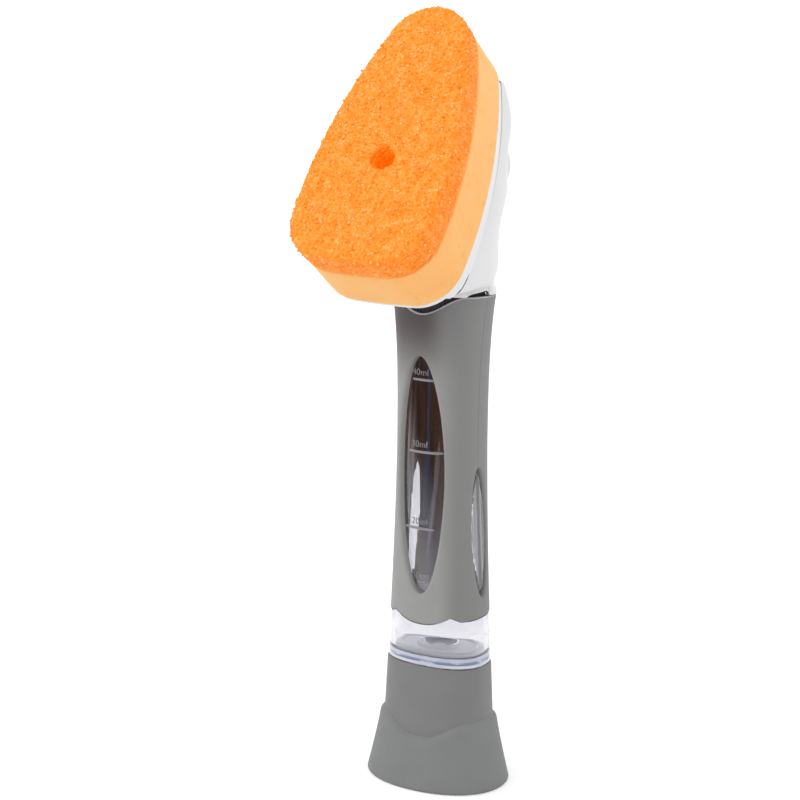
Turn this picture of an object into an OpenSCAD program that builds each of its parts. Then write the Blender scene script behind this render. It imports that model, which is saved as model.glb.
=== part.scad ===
// Soap-dispensing dish wand standing on its foot.
// Origin: centre of the flat underside of the foot. +Z is up, the scrubbing side faces -Y.
// The sponge leans back over the neck. "Pad frame" below means: x across, y up along the
// back of the sponge, z straight out of its scrubbing face, zero at the sponge's back.

/* [Handle] */
// Height of the grip's top edge above the foot
grip_top_z = 168; // [160:0.5:180]
// Height of the base cup's rim, where the clear tank starts
cup_rim_z = 42; // [40:0.5:46]
// Half width of the handle at the cup's rim
rim_half_w = 18; // [17:0.1:20]
// Half depth of the handle at the cup's rim
rim_half_d = 12.4; // [12:0.1:14.5]
// Height of the waist, where the handle is slimmest from the front
waist_z = 118; // [112:1:124]
// Half width of the handle at the waist
waist_half_w = 13.4; // [13:0.1:15]
// Half depth of the handle at the waist
waist_half_d = 16.2; // [15.5:0.1:17]
// Half width of the handle at the top of the grip
top_half_w = 16.4; // [16:0.1:17.5]
// Half depth of the handle at the top of the grip
top_half_d = 15.7; // [15.5:0.1:16.8]
// Squareness of the handle's oval section, 2 is an ellipse
section_power = 2.45; // [2.2:0.05:2.8]

/* [Grip sleeve] */
// Thickness of the soft grip sleeve
grip_wall = 2; // [1.6:0.1:2.2]
// Height of the sleeve's hem at the middle of its front and back lobes
hem_low_z = 57; // [55:0.1:58]
// Height of the hem at the cusps between the lobes
hem_cusp_z = 60; // [59:0.1:61]
// Height of the hem at the sides
hem_side_z = 58.6; // [58.2:0.1:59]
// Half width of the hem's front lobe
hem_lobe_half_w = 10.4; // [8:0.1:11.5]
// Depth of the dip in the front and back of the sleeve's top edge
top_dip = 6; // [3:0.1:7]
// Half width of that dip
top_dip_half_w = 13.2; // [10:0.1:14]
// Height of the front window
window_h = 80.5; // [60:0.5:84]
// Width of the front window
window_w = 17.6; // [12:0.1:18.5]
// Height of the front window's middle above the foot
window_z = 108; // [104:0.5:112]
// Height of each side window
side_window_h = 44; // [30:1:50]
// Width of each side window
side_window_w = 9.8; // [6:0.1:11]
// Height of the side windows' middle above the foot
side_window_z = 87.4; // [84:0.1:95]
// Place of the side windows' middle behind the handle's axis
side_window_y = 0.5; // [0:0.1:1]

/* [Tank] */
// Thickness of the clear tank's wall
tank_wall = 2; // [1.6:0.1:2.4]
// How far the bare band of the tank lies inside the sleeve's surface
band_step = 0.3; // [0:0.1:0.6]
// Height of the tank's shoulder below the grip's top edge
shoulder_drop = 7; // [6.5:0.1:9]
// Outer radius of the tank's round neck
neck_r = 11; // [10.6:0.1:11]
// Radius of the tank's mouth
mouth_r = 8.5; // [7.8:0.1:8.8]
// Height of the neck above the shoulder
neck_h = 13; // [11:0.5:14]
// Thickness of the tank's clear floor
floor_t = 5.2; // [4:0.1:6]
// Depth of the plug below the floor that holds the base cup
plug_depth = 6.8; // [5:0.1:8]
// Radius of the moulded ring on the floor
floor_ring_r = 6.4; // [4:0.1:7.5]
// Heights of the volume marks at 10, 20, 30 and 40 ml
mark_z = [71.4, 90, 116.2, 140.3];
// Width of a volume mark
mark_w = 11.5; // [6:0.1:12]
// Height of a volume mark's bar
mark_t = 0.9; // [0.6:0.1:1.4]
// How far a mark stands out of the tank
mark_proud = 0.35; // [0.2:0.05:0.5]

/* [Base] */
// Half width of the foot on the table
foot_half_w = 25.3; // [22:0.1:28]
// Half depth of the foot on the table
foot_half_d = 19.3; // [17:0.1:22]
// Squareness of the foot's oval
foot_power = 2.15; // [2:0.05:2.4]
// Rounding of the foot's bottom edge
foot_round = 1.3; // [0.8:0.1:2]
// Thickness of the foot's floor
foot_floor = 3; // [2:0.1:4]
// Height of the skirt at the two sides
skirt_peak_z = 23.9; // [22:0.1:28]
// Height of the skirt at its front and back
skirt_trough_z = 17.9; // [13:0.1:20]
// Half width of the level stretch at the skirt's front and back
skirt_level_w = 2.6; // [1:0.1:5]
// Thickness of the skirt's edge on the cup
skirt_edge = 1.1; // [0.8:0.1:2]
// Height of the slope along the skirt's edge
skirt_bevel = 1.8; // [0.6:0.1:2.4]
// How much each side of the cup widens for each millimetre down
cup_flare = 0.045; // [0.02:0.005:0.07]
// Wall of the base cup
cup_wall = 2.2; // [1.8:0.1:2.6]
// Thickness of the web inside the cup
cup_web = 2; // [1.5:0.1:3]

/* [Sponge] */
// Lean of the sponge's back from upright, in degrees
pad_tilt = 37; // [34:0.5:40]
// How far the sponge's lower end reaches in front of the handle's axis
pad_reach = 39.8; // [38.5:0.1:41]
// Height of the sponge's lower end above the grip's top edge
pad_rise = 1.2; // [0.8:0.1:3]
// Length of the sponge
pad_l = 92; // [88:0.5:100]
// Radius of the sponge's tip
tip_r = 14.4; // [13:0.1:16]
// Radius of the sponge's lower corners
corner_r = 14.6; // [12:0.1:16]
// Distance of a lower corner's centre from the middle
corner_u = 10; // [9:0.1:12]
// Radius of the sponge's gently bowed sides
side_r = 166; // [140:1:260]
// Radius of the bowed lower edge
base_r = 300; // [150:5:500]
// Thickness of the smooth foam
foam_t = 18.2; // [14:0.1:22]
// Thickness of the scouring layer
scrub_t = 10.4; // [6:0.1:12]
// Radius of the soap hole through both layers
hole_r = 4.1; // [3.8:0.1:5]
// Height of the soap hole up the sponge
hole_v = 36; // [34:0.5:37]

/* [Backing and carrier] */
// Length of the backing plate and of the carrier behind it
plate_l = 87.5; // [85:0.5:88]
// Rounding of the two upper corners of those plates
plate_corner_r = 3; // [2.5:0.5:6]
// Thickness of the sponge's backing plate
backing_t = 2; // [1.5:0.1:2.4]
// How far the backing plate lies inside the sponge's edge
backing_inset = 0.7; // [0.4:0.1:1.2]
// Thickness of the carrier plate that closes the head
carrier_t = 2.5; // [2:0.1:3]
// How far the carrier and the head's rim lie inside the sponge's edge
head_inset = 1.2; // [0.8:0.1:2]
// Radius of the backing plate's snap posts
post_r = 2.2; // [1.8:0.1:2.6]
// Length of a snap post
post_l = 5.8; // [5:0.1:7]
// Height of the two lower snap posts up the sponge
post_low_v = 19; // [17:0.5:22]
// Distance of the lower snap posts from the plate's sides
post_low_side = 11.8; // [10:0.1:14]
// Distance of the two upper snap posts from the plate's upper end
post_top = 25.5; // [22:0.5:30]
// Distance of the upper snap posts from the plate's sides
post_high_side = 11; // [8:0.1:12]

/* [Head] */
// Height of the head's top above the grip's top edge
head_h = 67.4; // [66:0.1:68]
// Wall of the head shell
head_wall = 2; // [1.6:0.1:2.4]
// Depth of the head's back behind the handle's axis
head_back = 20.9; // [20.5:0.1:22]
// Rounding of the head's top
head_round = 3.5; // [3:0.5:5]
// Height in which the neck spreads to the carrier
belly_h = 5.5; // [5:0.5:9]
// Height of the arches in the sides of the head's rim
arch_h = 1.6; // [1:0.1:2.2]
// How far an arch starts in front of the handle's axis
arch_front_y = 10; // [7:0.1:11]
// How far it ends behind that axis
arch_rear_y = 0.8; // [0:0.1:2]
// How far the carrier's lower end lies up the sponge
carrier_low_v = 2.6; // [2.4:0.1:3]
// Outer radius of the coupling collar over its ribs
collar_r = 13.3; // [13:0.1:13.3]
// Number of fine ribs round the collar
rib_count = 72; // [48:4:96]
// Height of the collar's ribs
rib_h = 0.45; // [0.3:0.05:0.6]
// Thickness of the collar's top web
web_t = 2; // [1.5:0.1:3]
// Thickness of the flat gasket on the neck
gasket_t = 1.5; // [1:0.1:2]

/* [Valve and button] */
// Height of the valve's axis above the grip's top edge
valve_rise = 39; // [38.5:0.1:39.2]
// Outer radius of the valve body
valve_r = 6.4; // [6:0.1:7]
// Radius of the front chamber, where the valve disc moves
front_bore_r = 4; // [3.8:0.1:4.2]
// Radius of the rear bore, where the piston runs
rear_bore_r = 4.6; // [4.4:0.1:4.8]
// Radius of the port in the valve seat
port_r = 2.2; // [1.9:0.1:2.4]
// Thickness of the valve seat
seat_t = 1.5; // [1.2:0.1:1.8]
// Place of the valve seat's front face behind the handle's axis
seat_y = 3.2; // [3.1:0.1:3.5]
// Place of the valve body's rear end behind the handle's axis
valve_end_y = 14.5; // [14:0.1:15]
// Radius of the thumb button
button_r = 9.5; // [9:0.1:10]
// Travel of the thumb button
button_travel = 2; // [1.4:0.1:2.1]
// How far the button stands out of its ring
button_proud = 2.6; // [2.5:0.1:4]
// Place of the button ring's outer face behind the handle's axis
ring_face_y = 22.9; // [22.4:0.1:23.5]
// Wall of the button ring
ring_wall = 1.8; // [1.6:0.1:2.2]
// Length of the button ring
ring_l = 8.8; // [8:0.1:9.5]
// Wire of the return spring
spring_wire = 0.8; // [0.6:0.1:1]
// Middle radius of the return spring
spring_r = 5.5; // [5.3:0.1:5.8]
// Turns of the return spring
spring_turns = 3; // [2:1:3]
// Outer radius of the feed hose
hose_r = 4; // [3.6:0.1:4.4]
// Bore radius of the feed hose
hose_bore_r = 2.6; // [2.3:0.1:2.8]
// Place of the feed hose behind the handle's axis
feed_y = 5; // [4.8:0.1:5.2]
// Outer radius of the soap nozzle
nozzle_r = 3; // [2.4:0.1:3.2]
// Bore radius of the soap nozzle
nozzle_bore_r = 1.6; // [1.2:0.1:1.8]
// Radius of the nozzle's flange behind the carrier
nozzle_flange_r = 6.9; // [6.5:0.1:7.4]
// Thickness of that flange
nozzle_flange_t = 1.3; // [1:0.1:1.6]
// Thickness of the nozzle's face seal
nozzle_seal_t = 0.9; // [0.7:0.1:1.2]
// Width of that seal
nozzle_seal_w = 1.4; // [1:0.1:1.8]
// How far the nozzle reaches into the sponge
nozzle_reach = 8; // [5:0.5:10]
// Place of the air valve in front of the handle's axis
vent_y = 5.4; // [5:0.1:5.8]

/* [Fits] */
// Gap between parts that come apart or slide past each other
part_gap = 0.3; // [0.3:0.05:0.4]
// Radial clearance of a sealed sliding fit
slide_fit = 0.05; // [0.02:0.01:0.08]
// Clearance between parts that are fixed together
fixed_fit = 0.05; // [0.02:0.01:0.1]

/* [Hidden] */

around = 48;          // points round an oval section
fine = 64;            // facets of round drillings and turnings
over = 1;             // how far a cutter runs past what it cuts
far = 40;             // reach of cutters that pass right through

shoulder_z = grip_top_z - shoulder_drop;
neck_top_z = shoulder_z + neck_h;
collar_bottom_z = shoulder_z + 0.5;
collar_bore_r = neck_r + part_gap;
web_z = neck_top_z + gasket_t;
web_top_z = web_z + web_t;
head_z0 = grip_top_z + part_gap;
head_top_z = grip_top_z + head_h;
valve_z = grip_top_z + valve_rise;
pad_z0 = grip_top_z + pad_rise;
carrier_front_t = -backing_t - part_gap;
carrier_back_t = carrier_front_t - carrier_t;
plug_bottom_z = cup_rim_z - plug_depth;
cup_web_top_z = plug_bottom_z - 0.2;
ring_inner_r = button_r + part_gap + fixed_fit;
ring_outer_r = ring_inner_r + ring_wall;
ring_back_y = ring_face_y - ring_l;
button_face_y = ring_face_y + button_proud;
crown_y = button_face_y - 4;
piston_y = 9;
barb_r = hose_bore_r - fixed_fit;
barb_bore_r = barb_r - 0.95;

// Curves shared by the parts

function mix(a, b, k) = a + (b - a) * k;
function ramp(x) = let (k = min(max(x, 0), 1)) k * k * (3 - 2 * k);
function steps(a, b, n) = [for (i = [0:n]) mix(a, b, i / n)];

// Oval with half sizes w and d, its back half up to back when that is given
function oval(w, d, power, back = undef) = [
    for (i = [0:around - 1])
        let (
            t = 360 * i / around,
            c = cos(t),
            s = sin(t),
            e = 2 / power,
            depth = s > 0 && !is_undef(back) ? back : d
        )
        [w * sign(c) * pow(abs(c), e), depth * sign(s) * pow(abs(s), e)]
];
function lift(points, z, y = 0) = [for (p = points) [p[0], p[1] + y, z]];
function ring_mix(a, b, k) = [for (i = [0:len(a) - 1]) mix(a[i], b[i], k)];

// Half sizes of the handle's outer surface at height z
function half_w(z) =
    z < waist_z
        ? mix(waist_half_w, rim_half_w, pow((waist_z - z) / (waist_z - cup_rim_z), 1.45))
        : mix(waist_half_w, top_half_w, pow((z - waist_z) / (grip_top_z - waist_z), 3));
function half_d(z) =
    z < waist_z
        ? mix(waist_half_d, rim_half_d, pow((waist_z - z) / (waist_z - cup_rim_z), 1.6))
        : mix(waist_half_d, top_half_d, pow((z - waist_z) / (grip_top_z - waist_z), 2));
function handle_oval(z, inset) = oval(half_w(z) - inset, half_d(z) - inset, section_power);
function handle_ring(z, inset) = lift(handle_oval(z, inset), z);

// Sections of the base cup and of the skirt outside it
function cup_ring(z, inset) =
    let (grow = cup_flare * (cup_rim_z - z))
    lift(oval(rim_half_w + grow - inset, rim_half_d + grow - inset, section_power), z);
function skirt_oval(z, inset) =
    let (
        k = (skirt_peak_z - z) / skirt_peak_z,
        grow = cup_flare * (cup_rim_z - skirt_peak_z) + skirt_edge,
        w = mix(rim_half_w + grow, foot_half_w, pow(max(k, 0), 1.15)),
        d = mix(rim_half_d + grow, foot_half_d, pow(max(k, 0), 1.3))
    )
    oval(w - inset, d - inset, mix(section_power, foot_power, k));

// Surface through a stack of sections, closed by a flat face at both ends
module loft(rings) {
    n = len(rings[0]);
    m = len(rings);
    sides = [
        for (i = [0:m - 2], j = [0:n - 1])
            let (a = i * n + j, b = i * n + (j + 1) % n)
            each [[a, b + n, b], [a, a + n, b + n]]
    ];
    bottom = [for (j = [0:n - 1]) j];
    top = [for (j = [n - 1:-1:0]) (m - 1) * n + j];
    polyhedron(points = [for (r = rings) each r], faces = concat(sides, [bottom, top]), convexity = 6);
}

// The same for a wall: the sections run up its outside and down its inside
module loft_wall(rings) {
    n = len(rings[0]);
    m = len(rings);
    sides = [
        for (i = [0:m - 1], j = [0:n - 1])
            let (
                a = i * n + j,
                b = i * n + (j + 1) % n,
                c = ((i + 1) % m) * n + j,
                d = ((i + 1) % m) * n + (j + 1) % n
            )
            each [[a, d, b], [a, c, d]]
    ];
    polyhedron(points = [for (r = rings) each r], faces = sides, convexity = 8);
}

// Everything below or above a curve drawn over the front view
module below_curve(points) {
    low = [[points[len(points) - 1][0], -far], [points[0][0], -far]];
    rotate([90, 0, 0]) linear_extrude(2 * far, center = true) polygon(concat(points, low));
}
module above_curve(points) {
    high = [[points[len(points) - 1][0], 2 * grip_top_z], [points[0][0], 2 * grip_top_z]];
    rotate([90, 0, 0]) linear_extrude(2 * far, center = true) polygon(concat(points, high));
}

// Wavy line of the sleeve's hem: a front lobe, a cusp each side of it, and a side lobe
function hem_z(x) =
    let (k = abs(x) / hem_lobe_half_w)
    k < 1
        ? mix(hem_low_z, hem_cusp_z, pow(k, 2.2))
        : mix(hem_cusp_z, hem_side_z, ramp(3 * (k - 1)));
hem_line = concat(
    [[-far, hem_side_z]],
    [for (x = steps(-1.4 * hem_lobe_half_w, 1.4 * hem_lobe_half_w, 20)) [x, hem_z(x)]],
    [[far, hem_side_z]]
);

// Dipping line of the sleeve's top edge
function dip_z(x) = grip_top_z - top_dip * pow(0.5 + 0.5 * cos(180 * x / top_dip_half_w), 0.62);
dip_line = concat(
    [[-far, grip_top_z]],
    [for (x = steps(-top_dip_half_w, top_dip_half_w, 16)) [x, dip_z(x)]],
    [[far, grip_top_z]]
);

// Height of the skirt's wavy top edge, with its peaks at the two sides
skirt_half_w = rim_half_w + cup_flare * cup_rim_z;
function skirt_z(x) =
    mix(skirt_trough_z, skirt_peak_z, ramp((abs(x) - skirt_level_w) / (skirt_half_w - 1.5 - skirt_level_w)));
// Section of the skirt a fraction k of the way from its foot to its wavy edge
function skirt_rise(k) =
    let (flat = skirt_oval(skirt_trough_z, 0))
    [
        for (j = [0:around - 1])
            let (
                z = mix(foot_round, skirt_z(flat[j][0]) - skirt_bevel, k),
                p = skirt_oval(z, 0)[j]
            )
            [p[0], p[1], z]
    ];

// Outline of a window: an oval drawn in a little towards its two tips
function almond(w, h) = [
    for (i = [0:39])
        let (t = 9 * i, c = cos(t), s = sin(t), e = 2 / 1.92)
        [w / 2 * sign(c) * pow(abs(c), e), h / 2 * sign(s) * pow(abs(s), e)]
];

// The sponge's outline: tip, two lower corners and bowed sides, all tangent arcs.
// The circle of its right side touches the right lower corner's circle and the tip's.
side_centre =
    let (
        corner = [corner_u, corner_r],
        tip = [0, pad_l - tip_r],
        d = norm(tip - corner),
        along = (pow(side_r - corner_r, 2) - pow(side_r - tip_r, 2) + d * d) / (2 * d),
        away = sqrt(pow(side_r - corner_r, 2) - along * along),
        u = (tip - corner) / d
    )
    corner + along * u + away * [-u[1], u[0]];
base_centre_v = corner_r + sqrt(pow(base_r - corner_r, 2) - corner_u * corner_u);
function turn(from, to) = atan2(to[1] - from[1], to[0] - from[0]);
function arc(centre, r, a, b, n) = [for (i = [1:n]) centre + r * [cos(mix(a, b, i / n)), sin(mix(a, b, i / n))]];
// Centre of the upper corner, of radius r, of an outline with this length
function end_centre(length, r) =
    let (v = length - r)
    [side_centre[0] + sqrt(pow(side_r - r, 2) - pow(v - side_centre[1], 2)), v];
// Outline of this length with upper corners of radius r, drawn in by inset
function outline(length, r, inset) =
    let (
        corner = [corner_u, corner_r],
        end = end_centre(length, r),
        low = [0, base_centre_v],
        a0 = turn(low, corner),
        a1 = turn(side_centre, corner),
        a2 = turn(side_centre, end),
        half = concat(
            arc(low, base_r - inset, a0, a0, 1),
            arc(corner, corner_r - inset, a0, a1, 7),
            arc(side_centre, side_r - inset, a1, a2, 6),
            arc(end, r - inset, a2, 89.9, 6)
        )
    )
    concat(
        [[0, base_centre_v - base_r + inset]],
        half,
        [[0, length - inset]],
        [for (i = [len(half) - 1:-1:0]) [-half[i][0], half[i][1]]]
    );
pad_outline = outline(pad_l, tip_r, 0);
// Half width of the plates' outline at height v up the sponge
function plate_half(v) =
    let (
        end = end_centre(plate_l, plate_corner_r),
        v1 = corner_r + corner_r * sin(turn(side_centre, [corner_u, corner_r])),
        v2 = end[1] + plate_corner_r * sin(turn(side_centre, end))
    )
    v < v1
        ? corner_u + sqrt(max(corner_r * corner_r - pow(v - corner_r, 2), 0))
        : v < v2
            ? side_centre[0] + sqrt(side_r * side_r - pow(v - side_centre[1], 2))
            : end[0] + sqrt(max(plate_corner_r * plate_corner_r - pow(v - end[1], 2), 0));

// Places of the snap posts, across and up the sponge
post_high_v = plate_l - post_top;
post_low_u = plate_half(post_low_v) - post_low_side;
post_high_u = plate_half(post_high_v) - post_high_side;
post_at = [
    [-post_low_u, post_low_v],
    [post_low_u, post_low_v],
    [-post_high_u, post_high_v],
    [post_high_u, post_high_v]
];

// The pad frame, and the place on its plane t = carrier_back_t at height z
module on_pad(v = 0, t = 0) {
    translate([0, -pad_reach, pad_z0]) rotate([90 - pad_tilt, 0, 0]) translate([0, v, t]) children();
}
function pad_point(v, t) = [
    0,
    -pad_reach + v * sin(pad_tilt) - t * cos(pad_tilt),
    pad_z0 + v * cos(pad_tilt) + t * sin(pad_tilt)
];
function face_v(z) = (z - pad_z0 - carrier_back_t * sin(pad_tilt)) / cos(pad_tilt);
function face_y(z) = pad_point(face_v(z), carrier_back_t)[1];

// Along +Y from the valve's axis height, for turned parts of the valve and button
module on_valve(y = 0) {
    translate([0, y, valve_z]) rotate([-90, 0, 0]) children();
}
module tube(r_out, r_in, h) {
    difference() {
        cylinder(r = r_out, h = h, $fn = fine);
        translate([0, 0, -over]) cylinder(r = r_in, h = h + 2 * over, $fn = fine);
    }
}
module torus(r, minor) {
    rotate_extrude($fn = fine) translate([r, 0]) circle(r = minor, $fn = 24);
}
// Straight drilling between two points of the plane x = 0
module drill(p, q, r) {
    d = q - p;
    translate(p) rotate([atan2(-d[1], d[2]), 0, 0]) cylinder(r = r, h = norm(d), $fn = fine);
}

// Handle

module base_skirt() color([0.50, 0.51, 0.50]) {
    bottom = [
        for (a = [0, 30, 60])
            let (z = foot_round * (1 - cos(a)))
            lift(skirt_oval(z, foot_round * (1 - sin(a))), z)
    ];
    edge = [for (p = cup_ring(skirt_trough_z, 0.3)) [p[0], p[1], skirt_z(p[0])]];
    difference() {
        loft(concat(
            bottom,
            [for (k = steps(0, 1, 5)) skirt_rise(k)],
            [edge],
            [cup_ring(foot_floor + 4, 4)]
        ));
        loft([
            cup_ring(foot_floor, -fixed_fit),
            cup_ring(skirt_peak_z + over, -fixed_fit)
        ]);
    }
}

module base_cup() color([0.53, 0.54, 0.53]) {
    difference() {
        loft([for (z = [foot_floor, cup_rim_z]) cup_ring(z, 0)]);
        loft([for (z = [cup_web_top_z, cup_rim_z + over]) cup_ring(z, cup_wall)]);
        loft([for (z = [foot_floor - over, cup_web_top_z - cup_web]) cup_ring(z, cup_wall)]);
    }
}

module reservoir_floor() color([0.86, 0.88, 0.92, 0.5]) {
    inset = band_step + tank_wall + 2 * fixed_fit;
    difference() {
        loft([
            cup_ring(plug_bottom_z, inset),
            cup_ring(cup_rim_z, inset),
            handle_ring(cup_rim_z + floor_t, inset)
        ]);
        loft([
            cup_ring(plug_bottom_z - over, inset + tank_wall),
            cup_ring(cup_rim_z, inset + tank_wall)
        ]);
    }
    translate([0, 0, cup_rim_z + floor_t]) tube(floor_ring_r, floor_ring_r - 1.6, 0.8);
}

// Sections of the tank's shoulder, from its wall to just inside the round neck or mouth
function shoulder_rings(z, inset, r) = [
    for (k = [[6, 0], [3, 0.12], [1.4, 0.35], [0.4, 0.7], [0, 1]])
        lift(ring_mix(handle_oval(z - k[0], inset), oval(r - 0.6, r - 0.6, 2), k[1]), z - k[0])
];

module tank_core(inset, bottom_z, top_z, r) {
    loft(concat(
        [for (z = steps(bottom_z, top_z - 14, 7)) handle_ring(z, inset)],
        shoulder_rings(top_z, inset, r)
    ));
}

module tank_hollow() {
    band = band_step + tank_wall;
    wall = grip_wall + tank_wall;
    loft(concat(
        [
            handle_ring(cup_rim_z - over, band),
            handle_ring(hem_low_z - 4, band),
            handle_ring(hem_cusp_z, wall)
        ],
        [for (z = steps(hem_cusp_z, shoulder_z - tank_wall - 14, 6)) if (z > hem_cusp_z) handle_ring(z, wall)],
        shoulder_rings(shoulder_z - tank_wall, wall, mouth_r)
    ));
}

module reservoir() color([0.86, 0.88, 0.92, 0.4]) {
    groove_z = shoulder_z + neck_h / 2;
    difference() {
        union() {
            tank_core(grip_wall, cup_rim_z, shoulder_z, neck_r);
            intersection() {
                loft([for (z = steps(cup_rim_z, hem_cusp_z + 2, 3)) handle_ring(z, band_step)]);
                below_curve([for (p = hem_line) p - [0, fixed_fit]]);
            }
            translate([0, 0, shoulder_z - tank_wall])
                cylinder(r = neck_r, h = neck_top_z - shoulder_z + tank_wall, $fn = fine);
            for (z = mark_z)
                intersection() {
                    loft([
                        handle_ring(z - mark_t / 2, grip_wall - mark_proud),
                        handle_ring(z + mark_t / 2, grip_wall - mark_proud)
                    ]);
                    translate([-mark_w / 2, -far, z - mark_t]) cube([mark_w, far, 2 * mark_t]);
                }
        }
        tank_hollow();
        translate([0, 0, shoulder_z - tank_wall - over])
            cylinder(r = mouth_r, h = neck_h + tank_wall + 2 * over, $fn = fine);
        translate([0, 0, groove_z - 0.8]) tube(neck_r + over, neck_r - 1.15, 1.6);
    }
}

module grip_sleeve() color([0.56, 0.565, 0.56]) {
    bottom_z = hem_low_z - 0.5;
    levels = steps(bottom_z, grip_top_z, 10);
    difference() {
        loft_wall(concat(
            [for (z = levels) handle_ring(z, 0)],
            [for (i = [10:-1:0]) handle_ring(levels[i], grip_wall - fixed_fit)]
        ));
        translate([0, 0, window_z]) rotate([90, 0, 0])
            linear_extrude(far) polygon(almond(window_w, window_h));
        translate([0, side_window_y, side_window_z]) rotate([90, 0, 90])
            linear_extrude(2 * far, center = true) polygon(almond(side_window_w, side_window_h));
        below_curve(hem_line);
        above_curve(dip_line);
    }
}

module neck_oring() color([0.15, 0.15, 0.16]) {
    minor = 0.7;
    translate([0, 0, shoulder_z + neck_h / 2]) torus(collar_bore_r - slide_fit - minor, minor);
}

// Head

module coupling_collar() color([0.23, 0.22, 0.25]) {
    root_r = collar_r - rib_h;
    pitch = 360 / rib_count;
    ribs = [
        for (i = [0:rib_count - 1])
            each [
                root_r * [cos(i * pitch), sin(i * pitch)],
                collar_r * [cos((i + 0.5) * pitch), sin((i + 0.5) * pitch)]
            ]
    ];
    difference() {
        union() {
            translate([0, 0, collar_bottom_z])
                linear_extrude(web_top_z - collar_bottom_z) polygon(ribs);
            translate([0, feed_y, web_top_z - over]) cylinder(r = barb_r, h = 5.5 + over, $fn = fine);
        }
        translate([0, 0, collar_bottom_z - over])
            cylinder(r = collar_bore_r, h = web_z - collar_bottom_z + over, $fn = fine);
        translate([0, feed_y, web_z - over]) cylinder(r = barb_bore_r, h = 12, $fn = fine);
        translate([0, -vent_y, web_z - over]) cylinder(r = 1, h = web_t + 2 * over, $fn = fine);
    }
}

module neck_gasket() color([0.93, 0.93, 0.91]) {
    translate([0, 0, neck_top_z]) tube(neck_r, mouth_r + 0.4, gasket_t);
}

module vent_valve() color([0.93, 0.93, 0.91]) {
    stem_r = 1 - fixed_fit;
    translate([0, -vent_y, 0]) rotate_extrude($fn = fine) polygon([
        [0, web_z - 1.1],
        [1, web_z - 1],
        [2.2, web_z - 0.5],
        [2.2, web_z],
        [stem_r, web_z],
        [stem_r, web_top_z],
        [1.5, web_top_z],
        [1.2, web_top_z + 1],
        [0, web_top_z + 1.3]
    ]);
}

module feed_hose() color([0.88, 0.88, 0.86]) {
    translate([0, feed_y, web_top_z]) tube(hose_r, hose_bore_r, valve_z - valve_r - web_top_z - 0.2);
}

module valve_body() color([0.80, 0.82, 0.84]) {
    seat_back_y = seat_y + seat_t;
    chamber_end_y = seat_y - button_travel - 2;
    boss_r = nozzle_flange_r + 2.1;
    inlet = [0, chamber_end_y + 1.8, valve_z - 2.4];
    face_t = carrier_back_t - nozzle_flange_t - nozzle_seal_t;
    outlet = pad_point(hole_v + nozzle_flange_r / 2, face_t - 0.2);
    difference() {
        union() {
            on_valve(-12) cylinder(r = valve_r, h = valve_end_y + 12, $fn = fine);
            on_pad(hole_v, face_t - 4) cylinder(r = boss_r, h = carrier_back_t - face_t + 4 + over, $fn = fine);
            drill(inlet, outlet, 3.4);
            translate([0, feed_y, valve_z - valve_r - 5.5]) cylinder(r = barb_r, h = 8, $fn = fine);
        }
        on_pad(0, carrier_back_t) translate([-far, -far, 0]) cube([2 * far, 4 * far, far]);
        on_valve(seat_back_y) cylinder(r = rear_bore_r, h = valve_end_y - seat_back_y + over, $fn = fine);
        on_valve(chamber_end_y) cylinder(r = front_bore_r, h = seat_y - chamber_end_y, $fn = fine);
        on_valve(seat_y - over) cylinder(r = port_r, h = seat_t + 2 * over, $fn = fine);
        translate([0, feed_y, valve_z - valve_r - 6.5]) cylinder(r = barb_bore_r, h = 6.5 + 3, $fn = fine);
        on_pad(hole_v, face_t) cylinder(r = nozzle_flange_r + 0.1, h = 3, $fn = fine);
        on_pad(hole_v, face_t - 1.6) cylinder(r = nozzle_flange_r - 1.7, h = 2, $fn = fine);
        drill(inlet, outlet, 1.3);
    }
}

// Sections of the head shell at height z, with a wall taken off
function belly(z) = ramp((z - head_z0) / belly_h);
function dome(z, top, r) =
    let (k = max((z - (top - r)) / r, 0)) r * (1 - sqrt(max(1 - k * k, 0)));
function back_y(z) = mix(top_half_d, head_back, ramp((z - grip_top_z - 21) / 13.5));
function head_ring(z, inset) =
    let (
        s = belly(z - 0.8 * inset),
        w = mix(top_half_w, plate_half(face_v(z)) - head_inset, s) - inset,
        mid = mix(0, face_y(z), pow(s, 1.25)),
        front = mix(-top_half_d, face_y(z) - 8, s) + inset,
        back = back_y(z) - inset - dome(z, head_top_z - inset, head_round - inset),
        lower = mix(section_power, 2, ramp((z - head_z0) / 22)),
        power = mix(lower, 3.5, ramp((z - grip_top_z - 44) / 16))
    )
    lift(oval(w, mid - front, power, back - mid), z, mid);

module head_walls() {
    low = [0, 1, 2, 3, 4.2, 5.6, 7, 9];
    domed = [0, 0.35, 0.65, 0.85, 0.96, 1];
    inner_round = head_round - head_wall;
    levels = concat(
        [for (k = low) head_z0 + k],
        [for (z = steps(head_z0 + 15, head_top_z - head_round - 3, 5)) z]
    );
    difference() {
        loft(concat(
            [for (z = levels) head_ring(z, 0)],
            [for (k = domed) head_ring(head_top_z - head_round * (1 - k), 0)]
        ));
        loft(concat(
            [lift(oval(top_half_w - head_wall, top_half_d - head_wall, section_power), head_z0 - over)],
            [for (z = levels) head_ring(z, head_wall)],
            [for (k = domed) head_ring(head_top_z - head_wall - inner_round * (1 - k), head_wall)]
        ));
    }
}

// The walls and the collar's socket, trimmed to the carrier's plane
module head_trimmed() {
    difference() {
        union() {
            head_walls();
            translate([0, 0, head_z0]) tube(collar_r + 1.7, collar_r + fixed_fit, web_top_z - head_z0);
        }
        on_pad(0, carrier_back_t) translate([-far, -far, 0]) cube([2 * far, 4 * far, far]);
    }
}

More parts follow.
